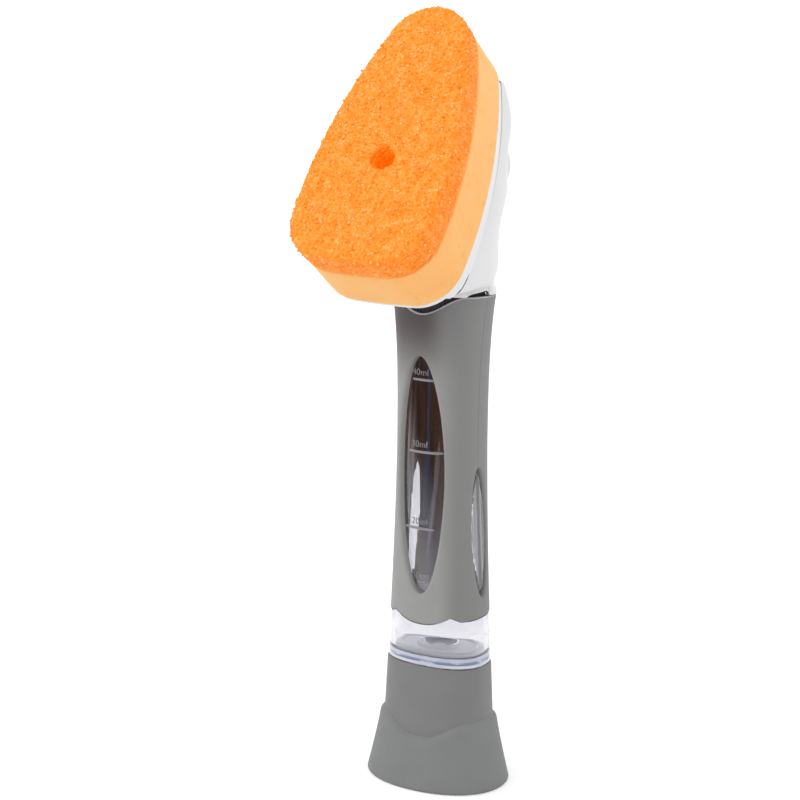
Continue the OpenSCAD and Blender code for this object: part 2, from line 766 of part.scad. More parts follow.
module head_shell() color([0.90, 0.90, 0.92]) {
    difference() {
        head_trimmed();
        on_valve(ring_back_y) cylinder(r = ring_outer_r + fixed_fit, h = far, $fn = fine);
        translate([0, 0, head_z0]) rotate([90, 0, 90]) linear_extrude(2 * far, center = true)
            polygon([
                for (i = [0:16])
                    let (k = i / 16)
                    [mix(-arch_front_y, arch_rear_y, k), arch_h * sin(180 * pow(k, 2.5))]
            ]);
    }
}

module button_ring() color([0.90, 0.90, 0.92]) {
    step_y = ring_face_y - 4.2;
    edge = 1;
    difference() {
        on_valve(ring_back_y) rotate_extrude($fn = fine) polygon([
            [0, 0],
            [ring_outer_r, 0],
            [ring_outer_r, ring_l - edge],
            [ring_outer_r - 0.3 * edge, ring_l - 0.3 * edge],
            [ring_outer_r - edge, ring_l],
            [0, ring_l]
        ]);
        on_valve(ring_back_y - over) cylinder(r = ring_inner_r, h = ring_l + 2 * over, $fn = fine);
        on_valve(ring_back_y - over) cylinder(r = ring_inner_r + 1.1, h = step_y - ring_back_y + over, $fn = fine);
    }
}

module carrier_plate() color([0.94, 0.94, 0.95]) {
    difference() {
        on_pad(0, carrier_back_t) linear_extrude(carrier_t) polygon([
            for (p = outline(plate_l, plate_corner_r, head_inset)) [p[0], max(p[1], carrier_low_v)]
        ]);
        on_pad(hole_v, carrier_back_t - over) cylinder(r = nozzle_r + fixed_fit, h = carrier_t + 2 * over, $fn = fine);
        for (p = post_at)
            on_pad(p[1], carrier_back_t - over) translate([p[0], 0, 0])
                cylinder(r = post_r + part_gap, h = carrier_t + 2 * over, $fn = fine);
    }
}

module nozzle() color([0.94, 0.94, 0.95]) {
    length = -carrier_back_t + nozzle_flange_t + nozzle_reach;
    on_pad(hole_v, carrier_back_t - nozzle_flange_t) rotate_extrude($fn = fine) polygon([
        [nozzle_bore_r, 0],
        [nozzle_flange_r, 0],
        [nozzle_flange_r, nozzle_flange_t],
        [nozzle_r, nozzle_flange_t],
        [nozzle_r, length - 2],
        [nozzle_r - 0.8, length],
        [nozzle_bore_r, length]
    ]);
}

module nozzle_seal() color([0.15, 0.15, 0.16]) {
    r = nozzle_flange_r - slide_fit - 0.05;
    on_pad(hole_v, carrier_back_t - nozzle_flange_t - nozzle_seal_t) tube(r, r - nozzle_seal_w, nozzle_seal_t);
}

// Thumb button and what moves with it

module push_button() color([0.92, 0.92, 0.94]) {
    skirt_y = ring_back_y + 1.4;
    flange_y = ring_face_y - 4.2 - part_gap - fixed_fit;
    edge = 2.4;
    crown = button_face_y - skirt_y;
    on_valve(skirt_y) difference() {
        union() {
            rotate_extrude($fn = fine) polygon(concat(
                [[0, 0], [button_r, 0]],
                [for (a = [0:15:75]) [
                    button_r - edge * (1 - cos(a)),
                    crown - 0.6 - edge * (1 - sin(a))
                ]],
                [[button_r - edge, crown - 0.6], [button_r / 2, crown - 0.15], [0, crown]]
            ));
            translate([0, 0, flange_y - skirt_y - 1.2]) cylinder(r = ring_inner_r + 0.75, h = 1.2, $fn = fine);
        }
        translate([0, 0, -over]) tube(button_r - 1.6, 3.8, crown_y - skirt_y + over);
        translate([0, 0, -over]) cylinder(r = 2.4 + fixed_fit, h = crown_y - skirt_y - 0.6, $fn = fine);
    }
}

module valve_stem() color([0.75, 0.77, 0.80]) {
    piston_t = 3.4;
    groove_y = piston_y + piston_t / 2;
    piston_r = rear_bore_r - slide_fit;
    difference() {
        union() {
            on_valve(seat_y - 1.7) cylinder(r = 1.5, h = piston_y - seat_y + 1.7 + over, $fn = fine);
            on_valve(piston_y) cylinder(r = piston_r, h = piston_t, $fn = fine);
            on_valve(piston_y + piston_t) cylinder(r = 2.4, h = crown_y - 2.8 - piston_y - piston_t, $fn = fine);
        }
        on_valve(groove_y - 0.65) tube(piston_r + over, piston_r - 1.1, 1.3);
    }
}

module stem_oring() color([0.15, 0.15, 0.16]) {
    minor = 0.55;
    on_valve(piston_y + 1.7) torus(rear_bore_r - slide_fit - minor, minor);
}

module valve_disc() color([0.2, 0.2, 0.21]) {
    on_valve(seat_y - 1.7) tube(front_bore_r - part_gap - 0.1, 1.5 + fixed_fit, 1.6);
}

module return_spring() color([0.75, 0.76, 0.78]) {
    sides = 6;
    per_turn = 16;
    coil_l = crown_y - valve_end_y - spring_wire - 0.2;
    count = per_turn * spring_turns;
    rings = [
        for (i = [0:count])
            let (a = 360 * i / per_turn, z = coil_l * i / count)
            [
                for (j = [0:sides - 1])
                    let (b = 360 * j / sides, r = spring_r + spring_wire / 2 * cos(b))
                    [r * cos(a), r * sin(a), z + spring_wire / 2 * sin(b)]
            ]
    ];
    on_valve(valve_end_y + spring_wire / 2 + 0.1) loft_path(rings);
}

// Tube through sections that follow a path
module loft_path(rings) {
    n = len(rings[0]);
    m = len(rings);
    sides = [
        for (i = [0:m - 2], j = [0:n - 1])
            let (a = i * n + j, b = i * n + (j + 1) % n)
            each [[a, b, b + n], [a, b + n, a + n]]
    ];
    first = [for (j = [n - 1:-1:0]) j];
    last = [for (j = [0:n - 1]) (m - 1) * n + j];
    polyhedron(points = [for (r = rings) each r], faces = concat(sides, [first, last]), convexity = 10);
}

// Sponge refill

module backing_plate() color([0.94, 0.94, 0.95]) {
    root = backing_t / 2;
    difference() {
        on_pad(0, -backing_t) linear_extrude(backing_t) polygon(outline(plate_l, plate_corner_r, backing_inset));
        on_pad(hole_v, -backing_t - over) cylinder(r = hole_r, h = backing_t + 2 * over, $fn = fine);
    }
    for (p = post_at)
        on_pad(p[1], -backing_t) translate([p[0], 0, 0]) mirror([0, 0, 1]) rotate_extrude($fn = fine)
            polygon([[0, -root], [post_r, -root], [post_r, post_l - 1.2], [post_r - 1, post_l], [0, post_l]]);
}

module pad_layer(from, thickness) {
    difference() {
        on_pad(0, from) linear_extrude(thickness) polygon(pad_outline);
        on_pad(hole_v, from - over) cylinder(r = hole_r, h = thickness + 2 * over, $fn = fine);
    }
}

module foam_pad() color([0.99, 0.78, 0.50]) pad_layer(0, foam_t);

module scrub_pad() color([1.0, 0.62, 0.28]) pad_layer(foam_t, scrub_t);

base_skirt();
base_cup();
reservoir_floor();
reservoir();
grip_sleeve();
neck_oring();
coupling_collar();
neck_gasket();
vent_valve();
feed_hose();
valve_body();
head_shell();
button_ring();
carrier_plate();
nozzle();
nozzle_seal();
push_button();
valve_stem();
stem_oring();
valve_disc();
return_spring();
backing_plate();
foam_pad();
scrub_pad();
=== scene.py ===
import math
import bmesh
import bpy
import numpy as np
from mathutils import Euler, Matrix, Vector
from mathutils.geometry import delaunay_2d_cdt


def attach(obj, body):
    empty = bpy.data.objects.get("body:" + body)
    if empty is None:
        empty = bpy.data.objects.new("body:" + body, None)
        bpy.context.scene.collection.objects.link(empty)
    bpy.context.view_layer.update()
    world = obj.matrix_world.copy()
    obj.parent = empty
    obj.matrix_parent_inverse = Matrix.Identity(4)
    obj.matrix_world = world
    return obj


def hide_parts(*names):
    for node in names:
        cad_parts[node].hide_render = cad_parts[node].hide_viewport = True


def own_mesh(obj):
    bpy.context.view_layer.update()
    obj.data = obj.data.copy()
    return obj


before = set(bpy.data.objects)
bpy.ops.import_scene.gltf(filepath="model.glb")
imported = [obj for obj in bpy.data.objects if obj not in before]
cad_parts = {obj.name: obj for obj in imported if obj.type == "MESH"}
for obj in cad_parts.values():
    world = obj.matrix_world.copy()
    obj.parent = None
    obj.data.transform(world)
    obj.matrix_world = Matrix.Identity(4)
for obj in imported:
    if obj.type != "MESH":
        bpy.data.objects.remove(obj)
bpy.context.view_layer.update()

# Sizes below are in millimetres, as in the part's source, and meshes are scaled once when made
MM = 0.001
random = np.random.default_rng(7)

# Handle
GRIP_TOP = 168.0
CUP_RIM = 42.0
RIM_W, RIM_D = 18.0, 12.4
WAIST_Z, WAIST_W, WAIST_D = 118.0, 13.4, 16.2
TOP_W, TOP_D = 16.4, 15.7
POWER = 2.45
GRIP_WALL = 2.0
HEM_LOW, HEM_CUSP, HEM_SIDE, HEM_LOBE = 57.0, 60.0, 58.6, 10.4
DIP, DIP_HALF = 6.0, 13.2
# Fall of the sleeve's top edge and of the head's rim from front to back, per millimetre
TOP_FALL, LEVEL_Y = 0.07, -10.0
WINDOW = {"w": 17.6, "h": 80.5, "z": 108.0}
SIDE_WINDOW = {"w": 9.8, "h": 44.0, "z": 87.4, "y": 0.5}
WINDOW_POWER = 1.92
EDGE_R = 0.8
PARTING = 0.14
FLUTE = 2.9

# Tank
TANK_WALL = 2.0
BAND_STEP = 0.3
SHOULDER_Z = GRIP_TOP - 7
NECK_R, MOUTH_R, NECK_H = 11.0, 8.5, 13.0
FLOOR_T, PLUG = 5.2, 6.8
FLOOR_RING_R, TANK_FOOT_Z, FLOOR_TOP = 6.4, 45.8, CUP_RIM + FLOOR_T

# Base
FOOT_W, FOOT_D, FOOT_POWER = 25.3, 19.3, 2.15
FOOT_ROUND, FOOT_FLOOR = 1.3, 3.0
SKIRT_PEAK, SKIRT_TROUGH, SKIRT_LEVEL, SKIRT_EDGE, SKIRT_BEVEL = 23.9, 17.9, 2.6, 1.1, 1.8
CUP_FLARE, CUP_WALL = 0.045, 2.2

# Sponge, plates and head
PAD_TILT = math.radians(37)
PAD_REACH, PAD_Z0 = 39.8, GRIP_TOP + 1.2
PAD_L, TIP_R, CORNER_R, CORNER_U = 92.0, 14.4, 14.6, 10.0
SIDE_R, BASE_R = 166.0, 300.0
FOAM_T, SCRUB_T, HOLE_R, HOLE_V = 18.2, 10.4, 4.1, 36.0
PLATE_L, PLATE_CORNER = 87.5, 3.0
BACKING_T, BACKING_INSET, HEAD_INSET = 2.0, 0.7, 1.2
CARRIER_FRONT, CARRIER_BACK, CARRIER_LOW = -2.04, -4.8, 5.4
SEAM_GAP, SEAM_V, SEAM_REACH, CARRIER_TAPER = 0.6, 12.0, 3.6, 1.35
POST_R, POST_L = 2.2, 5.8
POSTS = [(-13, 19), (13, 19), (-9, 62), (9, 62)]
HEAD_Z0, HEAD_TOP = GRIP_TOP + 0.3, GRIP_TOP + 67.4
HEAD_WALL, HEAD_BACK, HEAD_ROUND, BELLY_H = 2.0, 20.9, 3.5, 5.5
ARCH_FRONT, ARCH_REAR, ARCH_H, ARCH_PEAK = 10.0, 0.8, 1.7, 0.74
LIP_DROP, ARCH_FRONT_LIP = HEAD_Z0 - GRIP_TOP - 0.05, -8.5
COLLAR_R = 13.3
NOZZLE_R = 3.0
VALVE_Z = GRIP_TOP + 39
RING_R = 11.7
SPRING_FOOT, SPRING_HEAD, SPRING_R, SPRING_WIRE, SPRING_TURNS, PRESS = 14.5, 21.5, 5.5, 0.8, 3, 2.0

# Clearances, edge roundings and mesh steps
FINE, LAYER_GAP, SKIN = 0.05, 0.02, 0.03
SLEEVE_PITCH, EDGE_GAP, WINDOW_GAP, SEAM_MARGIN = 1.5, 1.4, 1.6, 0.6
CUP_EDGE, FLOOR_EDGE, SKIRT_SWELL = 0.7, 0.8, 0.16
TOP_LIGHT_DROP, TOP_LIGHT_Y = 0.32, 6
BULGE, BULGE_FLUTE, BULGE_EDGE = 1.35, 0.07, 0.34
BAR_HALF, BAR_PROUD, BAR_SUNK, NUMBER_SIZE = 0.45, 0.34, 0.04, 3.105
GROOVE_HALF, GROOVE_DEEP = 0.8, 1.15
ARCH_FADE, ARCH_BESIDE = 3.4, 8
LIP_WALL, LIP_LEVEL, LIP_SPAN = 0.5, 3, 4
BACK_LEVEL, BACK_SPAN, ROUND_SPAN = 21, 13.5, 22
SQUARE_LEVEL, SQUARE_SPAN, SQUARE_POWER = 44, 16, 3.5
REAR_Y = 8
PLATE_PITCH, FOAM_PITCH, GRAIN_PITCH = 2.5, 1.2, 0.42 * 1.08
PORES, PORE_DEEP, KNOTS = 260, 0.35, 2600
# The groove that runs down the scouring face from under its hole
CUT_U, CUT_HALF, CUT_DEEP, CUT_LOW, CUT_HIGH = 0.2, 0.4, 0.35, 13, 4


# Curves shared by the pieces

def mix(a, b, k):
    return a + (b - a) * k


def ramp(x):
    k = np.clip(x, 0, 1)
    return k * k * (3 - 2 * k)


def waisted(z, low, waist, high, low_power, high_power):
    """A half size of the handle, least at the waist."""
    z = np.asarray(z, float)
    down = np.maximum(WAIST_Z - z, 0) / (WAIST_Z - CUP_RIM)
    up = np.maximum(z - WAIST_Z, 0) / (GRIP_TOP - WAIST_Z)
    return np.where(z < WAIST_Z, mix(waist, low, down ** low_power), mix(waist, high, up ** high_power))


def half_w(z):
    return waisted(z, RIM_W, WAIST_W, TOP_W, 1.45, 3)


def half_d(z):
    return waisted(z, RIM_D, WAIST_D, TOP_D, 1.6, 2)


def stacked(*axes):
    """Points from their coordinates."""
    return np.stack(np.broadcast_arrays(*axes), -1)


def run_along(points):
    """Length of a line up to each of its points."""
    return np.concatenate([[0], np.cumsum(np.linalg.norm(np.diff(points, axis=0), axis=1))])


def signed_power(v, e):
    return np.sign(v) * np.abs(v) ** e


def oval_at(theta, w, d, power, back=None):
    """Points of an oval with half sizes w and d; its back half reaches to back when that is given."""
    c, s = np.cos(theta), np.sin(theta)
    depth = d if back is None else np.where(s > 0, back, d)
    return w * signed_power(c, 2 / power), depth * signed_power(s, 2 / power)


def handle_at(theta, z, inset):
    x, y = oval_at(theta, half_w(z) - inset, half_d(z) - inset, POWER)
    return stacked(x, y, z)


def turns(count):
    """Angles of count even steps round a circle."""
    return np.arange(count) * 2 * math.pi / count


THETA = turns(192)


def ring(w, d, power, z, y=0.0, back=None):
    x, yy = oval_at(THETA, w, d, power, back)
    return stacked(x, yy + y, float(z))


def handle_ring(z, inset):
    return handle_at(THETA, z, inset)


def rounded_rim(section, z, inset, r):
    """Rings that round off an upper rim."""
    return [section(z - r * (1 - math.sin(a)), inset + r * (1 - math.cos(a)))
            for a in np.radians([30, 60, 90])]


def cup_ring(z, inset):
    grow = CUP_FLARE * (CUP_RIM - z)
    return ring(RIM_W + grow - inset, RIM_D + grow - inset, POWER, z)


def hem_z(x):
    k = np.abs(x) / HEM_LOBE
    lobe = mix(HEM_LOW, HEM_CUSP, np.minimum(k, 1) ** 2.2)
    side = mix(HEM_CUSP, HEM_SIDE, ramp(3 * (k - 1)))
    return np.where(k < 1, lobe, side)


def dip_z(x):
    bump = np.where(np.abs(x) < DIP_HALF, 0.5 + 0.5 * np.cos(np.pi * x / DIP_HALF), 0)
    return GRIP_TOP - DIP * bump ** 0.62


def fall(y):
    return TOP_FALL * (y - LEVEL_Y)


# Mesh helpers

def link(name, data):
    obj = bpy.data.objects.new(name, data)
    bpy.context.scene.collection.objects.link(obj)
    return obj


def make(name, shape, body, material, nodes=(), sharp=38):
    """A mesh piece from points in millimetres and faces, smooth but for its sharp edges, riding
    on a body."""
    verts, faces = shape
    mesh = bpy.data.meshes.new(name)
    mesh.from_pydata((np.asarray(verts) * MM).tolist(), [], [tuple(int(i) for i in f) for f in faces])
    mesh.validate()
    mesh.shade_smooth()
    mesh.set_sharp_from_angle(angle=math.radians(sharp))
    for used in material if isinstance(material, list) else [material]:
        mesh.materials.append(used)
    obj = link(name, mesh)
    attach(obj, body)
    if nodes:
        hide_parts(*nodes)
    return obj


def loft(rings, closed=False, caps=(True, True)):
    """Quads through a stack of rings. Closed joins the last ring to the first, for a wall."""
    m, n = len(rings), len(rings[0])
    faces = []
    for i in range(m if closed else m - 1):
        k = (i + 1) % m
        for j in range(n):
            l = (j + 1) % n
            faces.append((i * n + j, i * n + l, k * n + l, k * n + j))
    if caps[0] and not closed:
        faces.append(tuple(reversed(range(n))))
    if caps[1] and not closed:
        faces.append(tuple(range((m - 1) * n, m * n)))
    return np.concatenate(rings), faces


def turned_over(faces):
    return [tuple(reversed(f)) for f in faces]


def join(parts):
    """Several (verts, faces) as one."""
    verts, faces, base = [], [], 0
    for v, f in parts:
        v = np.asarray(v)
        verts.append(v)
        faces += [tuple(i + base for i in face) for face in f]
        base += len(v)
    return np.concatenate(verts), faces


def turned(profile, centre, axis, n=96):
    """Rings of a turning: profile is (radius, height) pairs along the axis."""
    axis = np.asarray(axis, float)
    side = np.cross(axis, [0, 0, 1.0]) if abs(axis[2]) < 0.9 else np.array([1.0, 0, 0])
    side /= np.linalg.norm(side)
    other = np.cross(axis, side)
    t = turns(n)[:, None]
    return [np.asarray(centre) + h * axis + r * (np.cos(t) * side + np.sin(t) * other)
            for r, h in profile]


# Materials

def node_material(name, build):
    m = bpy.data.materials.new(name)
    m.use_nodes = True
    nt = m.node_tree
    build(nt, next(n for n in nt.nodes if n.type == "BSDF_PRINCIPLED"))
    return m


def put(node, **sockets):
    """Gives a node's sockets values or links. Their names are written with underscores."""
    for key, value in sockets.items():
        socket = node.inputs[key.replace("_", " ")]
        if isinstance(value, bpy.types.NodeSocket):
            node.id_data.links.new(value, socket)
        else:
            socket.default_value = value


def add(nt, kind, sockets=None, **settings):
    """A new node with its settings, and with values or links for its sockets."""
    node = nt.nodes.new("ShaderNode" + kind)
    for key, value in settings.items():
        setattr(node, key, value)
    put(node, **(sockets or {}))
    return node


def place_in(nt, kind="Object"):
    return add(nt, "TexCoord").outputs[kind]


def coordinate(nt, axis, kind="Object"):
    return add(nt, "SeparateXYZ", {"Vector": place_in(nt, kind)}).outputs[axis]


def stretched(nt, scale):
    """Object space with its height scaled, for upright or level streaks."""
    return add(nt, "Mapping", {"Vector": place_in(nt), "Scale": (1.0, 1.0, scale)}).outputs[0]


def noise(nt, scale, detail=4.0, roughness=0.55, source=None):
    """Noise in object space, scale in features per metre."""
    return add(nt, "TexNoise", {"Scale": scale, "Detail": detail, "Roughness": roughness,
                                "Vector": source or place_in(nt)}).outputs["Fac"]


def ramp_node(nt, fac, stops):
    r = add(nt, "ValToRGB", {"Fac": fac})
    while len(r.color_ramp.elements) < len(stops):
        r.color_ramp.elements.new(0.5)
    for element, (place, colour) in zip(r.color_ramp.elements, stops):
        element.position = place
        element.color = (*colour, 1.0)
    return r.outputs["Color"]


def bump(nt, height, strength, distance):
    return add(nt, "Bump", {"Height": height, "Strength": strength, "Distance": distance}).outputs[0]


def grained(nt, scale, strength, depth, roughness=0.55):
    return bump(nt, noise(nt, scale, 3.0, roughness), strength, depth)


def remap(nt, value, low=0.0, high=1.0, start=0.0, end=1.0, kind="LINEAR"):
    """Value taken from start..end to low..high."""
    return add(nt, "MapRange", {"Value": value, "From Min": start, "From Max": end, "To Min": low,
                                "To Max": high}, interpolation_type=kind).outputs["Result"]


def soft_step(nt, value, start, end, low=0.0, high=1.0):
    return remap(nt, value, low, high, start, end, "SMOOTHSTEP")


def calc(nt, operation, *terms, clamp=False):
    """A math node on sockets and numbers."""
    node = add(nt, "Math", operation=operation, use_clamp=clamp)
    for socket, term in zip(node.inputs, terms):
        if isinstance(term, float):
            socket.default_value = term
        else:
            nt.links.new(term, socket)
    return node.outputs[0]


def tint(nt, colour, fac, other):
    """Colour moved towards other by fac."""
    m = add(nt, "Mix", {"Factor": fac}, data_type="RGBA")
    nt.links.new(colour, m.inputs[6])
    m.inputs[7].default_value = (*other, 1.0)
    return m.outputs[2]


def attribute_in(nt, name):
    return add(nt, "Attribute", attribute_name=name).outputs["Fac"]


def shade(rgb, k):
    return tuple(c * k for c in rgb)


def mottled(nt, rgb, amount):
    stops = [(0.3, shade(rgb, 1 - amount)), (0.7, shade(rgb, 1 + amount))]
    return ramp_node(nt, noise(nt, 90.0, 5.0), stops)


def uneven(nt, low, high, scale=240.0):
    return remap(nt, noise(nt, scale), low, high)


def moulded(name, rgb, rough, grain=2600.0, depth=0.00002, strength=0.35, mottle=0.06, **sockets):
    """Moulded plastic or rubber: slight mottling, uneven gloss and a fine grain."""
    def build(nt, shader):
        put(shader, Base_Color=mottled(nt, rgb, mottle), Roughness=uneven(nt, rough - 0.07, rough + 0.07),
            Normal=grained(nt, grain, strength, depth), **sockets)
    return node_material(name, build)


GREY = (0.318, 0.318, 0.315)
ACRYLIC_IOR = 1.49


def grip_build(nt, shader):
    """Soft grey, with a painted shadow in front under the head, darker and warmer where the sponge shades
    it and reflects its orange, and painted shade darkening its right flank.
    """
    x = coordinate(nt, "X")
    high = soft_step(nt, coordinate(nt, "Z"), 0.136, 0.160)
    # painted shadow: a darker, warmer tone high on the front, under the sponge
    painted_shadow = calc(nt, "MULTIPLY", high, soft_step(nt, x, 0.015, 0.001))
    # painted shade: the right flank darkened towards x = 13 mm
    base = tint(nt, mottled(nt, GREY, 0.03), soft_step(nt, x, 0.006, 0.013), shade(GREY, 0.72))
    put(shader, Base_Color=tint(nt, base, painted_shadow, (0.112, 0.096, 0.095)), Roughness=uneven(nt, 0.45, 0.6),
        Specular_IOR_Level=0.15, Normal=grained(nt, 2600.0, 0.35, 0.00002))


def steel_build(nt, shader):
    streaks = noise(nt, 3000.0, 2.0)
    colour = ramp_node(nt, streaks, [(0.2, (0.45, 0.46, 0.48)), (0.8, (0.62, 0.63, 0.65))])
    put(shader, Metallic=1.0, Base_Color=colour, Roughness=uneven(nt, 0.2, 0.34, 1500.0),
        Normal=bump(nt, streaks, 0.2, 0.00001))


def clear_build(nt, shader):
    """Clear moulding with upright waves and a faint tone in its depth."""
    waves = noise(nt, 260.0, 3.0, 0.5, stretched(nt, 0.05))
    put(shader, Base_Color=(0.985, 0.985, 0.995, 1.0), Transmission_Weight=1.0, IOR=ACRYLIC_IOR,
        Coat_Weight=0.8, Coat_Roughness=0.02, Roughness=uneven(nt, 0.01, 0.04, 120.0),
        Normal=bump(nt, waves, 0.35, 0.00035))
    within = add(nt, "VolumeAbsorption", {"Color": (0.40, 0.40, 0.49, 1.0), "Density": 100.0})
    output = next(n for n in nt.nodes if n.type == "OUTPUT_MATERIAL")
    put(output, Volume=within.outputs["Volume"])


def flange_build(nt, shader):
    """Thick clear foot with painted light: a painted dark line of shade at the joint, a painted bright
    highlight on the lip, broken painted blue reflection streaks and a painted grey upper edge.
    """
    level = remap(nt, coordinate(nt, "Z"), start=CUP_RIM * MM, end=TANK_FOOT_Z * MM)
    painted_bands = ramp_node(nt, level, [
        (0.06, (0.02, 0.02, 0.07)), (0.14, (0.85, 0.87, 0.93)), (0.32, (0.80, 0.83, 0.94)),
        (0.42, (0.16, 0.19, 0.34)), (0.62, (0.25, 0.29, 0.45)), (0.74, (0.62, 0.66, 0.82)),
        (0.90, (0.60, 0.63, 0.76)), (0.97, (0.42, 0.45, 0.58)),
    ])
    patch = remap(nt, noise(nt, 150.0, 4.0, 0.6, stretched(nt, 3.0)), 0.0, 0.85, 0.47, 0.58)
    put(shader, Base_Color=tint(nt, painted_bands, patch, (0.66, 0.69, 0.82)), Transmission_Weight=0.3,
        IOR=ACRYLIC_IOR, Coat_Weight=0.8, Roughness=uneven(nt, 0.05, 0.15, 200.0),
        Normal=grained(nt, 260.0, 0.5, 0.0003))


def foam_build(nt, shader):
    colour = ramp_node(nt, noise(nt, 120.0), [(0.25, (1.0, 0.465, 0.145)), (0.75, (1.0, 0.510, 0.178))])
    # painted shade: the pores are tinted a deeper orange; the faint emission is a painted glow
    put(shader, Base_Color=tint(nt, colour, attribute_in(nt, "pore"), (1.0, 0.44, 0.11)),
        Roughness=0.9, Specular_IOR_Level=0.1, Sheen_Weight=0.15,
        Emission_Color=(1.0, 0.52, 0.18, 1.0), Emission_Strength=0.05,
        Subsurface_Weight=0.5, Subsurface_Radius=(1.0, 0.45, 0.15), Subsurface_Scale=0.004,
        Normal=grained(nt, 2400.0, 0.35, 0.00012, 0.7))


def scrub_build(nt, shader):
    """Painted shade: deeper orange in the hollows; paler knots, partly their own colour and partly
    painted highlight; a painted glow everywhere from the emission, strongest and deepest orange in the
    hole.
    """
    colour = ramp_node(nt, attribute_in(nt, "relief"), [
        (0.0, (0.86, 0.17, 0.001)), (0.3, (1.0, 0.25, 0.012)), (0.55, (1.0, 0.305, 0.035)),
        (0.8, (1.0, 0.375, 0.075)), (1.0, (1.0, 0.58, 0.26)),
    ])
    # deep marks the hole, tinted a deeper orange and given more emission: a painted glow
    deep = attribute_in(nt, "deep")
    put(shader, Base_Color=tint(nt, colour, deep, (1.0, 0.22, 0.0)), Roughness=0.5,
        Specular_IOR_Level=0.15, Emission_Color=(1.0, 0.25, 0.0, 1.0),
        Emission_Strength=remap(nt, deep, 0.13, 0.47),
        Normal=grained(nt, 2600.0, 0.5, 0.00025, 0.7))


def inner_shade_build(nt, shader):
    """Painted shade on the inside of the sleeve, seen through the windows: near black, with painted
    upright reflection streaks, a painted lighter tone towards its foot and a painted glow from its
    emission.
    """
    streak = noise(nt, 210.0, 2.0, 0.4, stretched(nt, 0.045))
    colour = ramp_node(nt, streak, [
        (0.30, (0.020, 0.022, 0.034)), (0.42, (0.060, 0.066, 0.10)), (0.50, (0.035, 0.018, 0.010)),
        (0.58, (0.075, 0.036, 0.016)), (0.68, (0.10, 0.012, 0.030)), (0.80, (0.030, 0.016, 0.018)),
    ])
    low = remap(nt, coordinate(nt, "Z"), start=0.112, end=0.060)
    tone = tint(nt, colour, low, (0.080, 0.070, 0.076))
    put(shader, Base_Color=tone, Emission_Color=tone, Emission_Strength=0.85, Roughness=0.6,
        Normal=grained(nt, 2600.0, 0.3, 0.00002))


grey_rubber = node_material("grey_rubber", grip_build)
# painted highlight: a lighter grey laid on the sleeve's rounded top edge
edge_painted_highlight = moulded("edge_painted_highlight", (0.55, 0.52, 0.51), 0.35, mottle=0.05)
cup_rubber = moulded("cup_rubber", (0.206, 0.207, 0.207), 0.5, mottle=0.03, Specular_IOR_Level=0.2)
foot_rubber = moulded("foot_rubber", (0.216, 0.222, 0.220), 0.55, mottle=0.03, Specular_IOR_Level=0.15)
white_plastic = moulded("white_plastic", (0.755, 0.752, 0.765), 0.35, grain=500.0, depth=0.00001,
                        strength=0.15, mottle=0.012, Specular_IOR_Level=0.15)
plate_plastic = moulded("plate_plastic", (0.82, 0.82, 0.84), 0.38, 1500.0, mottle=0.012,
                        Specular_IOR_Level=0.2)
button_plastic = moulded("button_plastic", (0.80, 0.80, 0.83), 0.28, 900.0, mottle=0.012)
valve_plastic = moulded("valve_plastic", (0.62, 0.64, 0.68), 0.4, 1500.0, mottle=0.02)
dark_plastic = moulded("dark_plastic", (0.085, 0.075, 0.095), 0.3, 1200.0, mottle=0.1)
black_rubber = moulded("black_rubber", (0.012, 0.012, 0.013), 0.5, 1800.0, mottle=0.15)
silicone = moulded("silicone", (0.72, 0.72, 0.70), 0.35, 900.0, mottle=0.02, Subsurface_Weight=0.3,
                   Subsurface_Scale=0.002)
# painted glow: the floor plate's emission stands in for light coming through the clear tank
floor_plastic = moulded("floor_plastic", (0.74, 0.74, 0.79), 0.12, 300.0, 0.00005, mottle=0.04,
                        Transmission_Weight=0.12, IOR=ACRYLIC_IOR, Coat_Weight=0.5,
                        Emission_Color=(0.9, 0.9, 1.0, 1.0), Emission_Strength=0.2)
# painted highlight and painted shade for the floor plate's raised ring: a glowing bright crest and a dark
# lavender inner wall
ring_painted_highlight = moulded("ring_painted_highlight", (0.9, 0.91, 0.96), 0.1, mottle=0.04, Coat_Weight=0.8,
                      Emission_Color=(0.9, 0.93, 1.0, 1.0), Emission_Strength=0.5)
ring_painted_shade = moulded("ring_painted_shade", (0.20, 0.22, 0.33), 0.15, mottle=0.15, Coat_Weight=0.8,
                     Emission_Color=(0.35, 0.4, 0.6, 1.0), Emission_Strength=0.15)
mark_plastic = moulded("mark_plastic", (0.37, 0.37, 0.40), 0.25, mottle=0.03, Transmission_Weight=0.3)
spring_steel = node_material("spring_steel", steel_build)
clear_plastic = node_material("clear_plastic", clear_build)
flange_painted_light = node_material("flange_painted_light", flange_build)
foam_material = node_material("foam", foam_build)
scrub_material = node_material("scrub", scrub_build)
sleeve_painted_shade = node_material("sleeve_painted_shade", inner_shade_build)


# Grip sleeve: one triangulated sheet drawn on the unrolled handle, with rounded edges round
# its windows, hem and top, doubled into a wall

UNROLL_Z = 110.0
TABLE_T = np.linspace(0.5 * math.pi, 2.5 * math.pi, 4001)
TABLE_P = handle_at(TABLE_T, UNROLL_Z, 0)
TABLE_S = run_along(TABLE_P)
GIRTH = TABLE_S[-1]
FRONT, RIGHT, LEFT = 0, 1, -1


def theta_of(s):
    return np.interp(s, TABLE_S, TABLE_T)


def run_of(theta):
    return np.interp(theta, TABLE_T, TABLE_S)


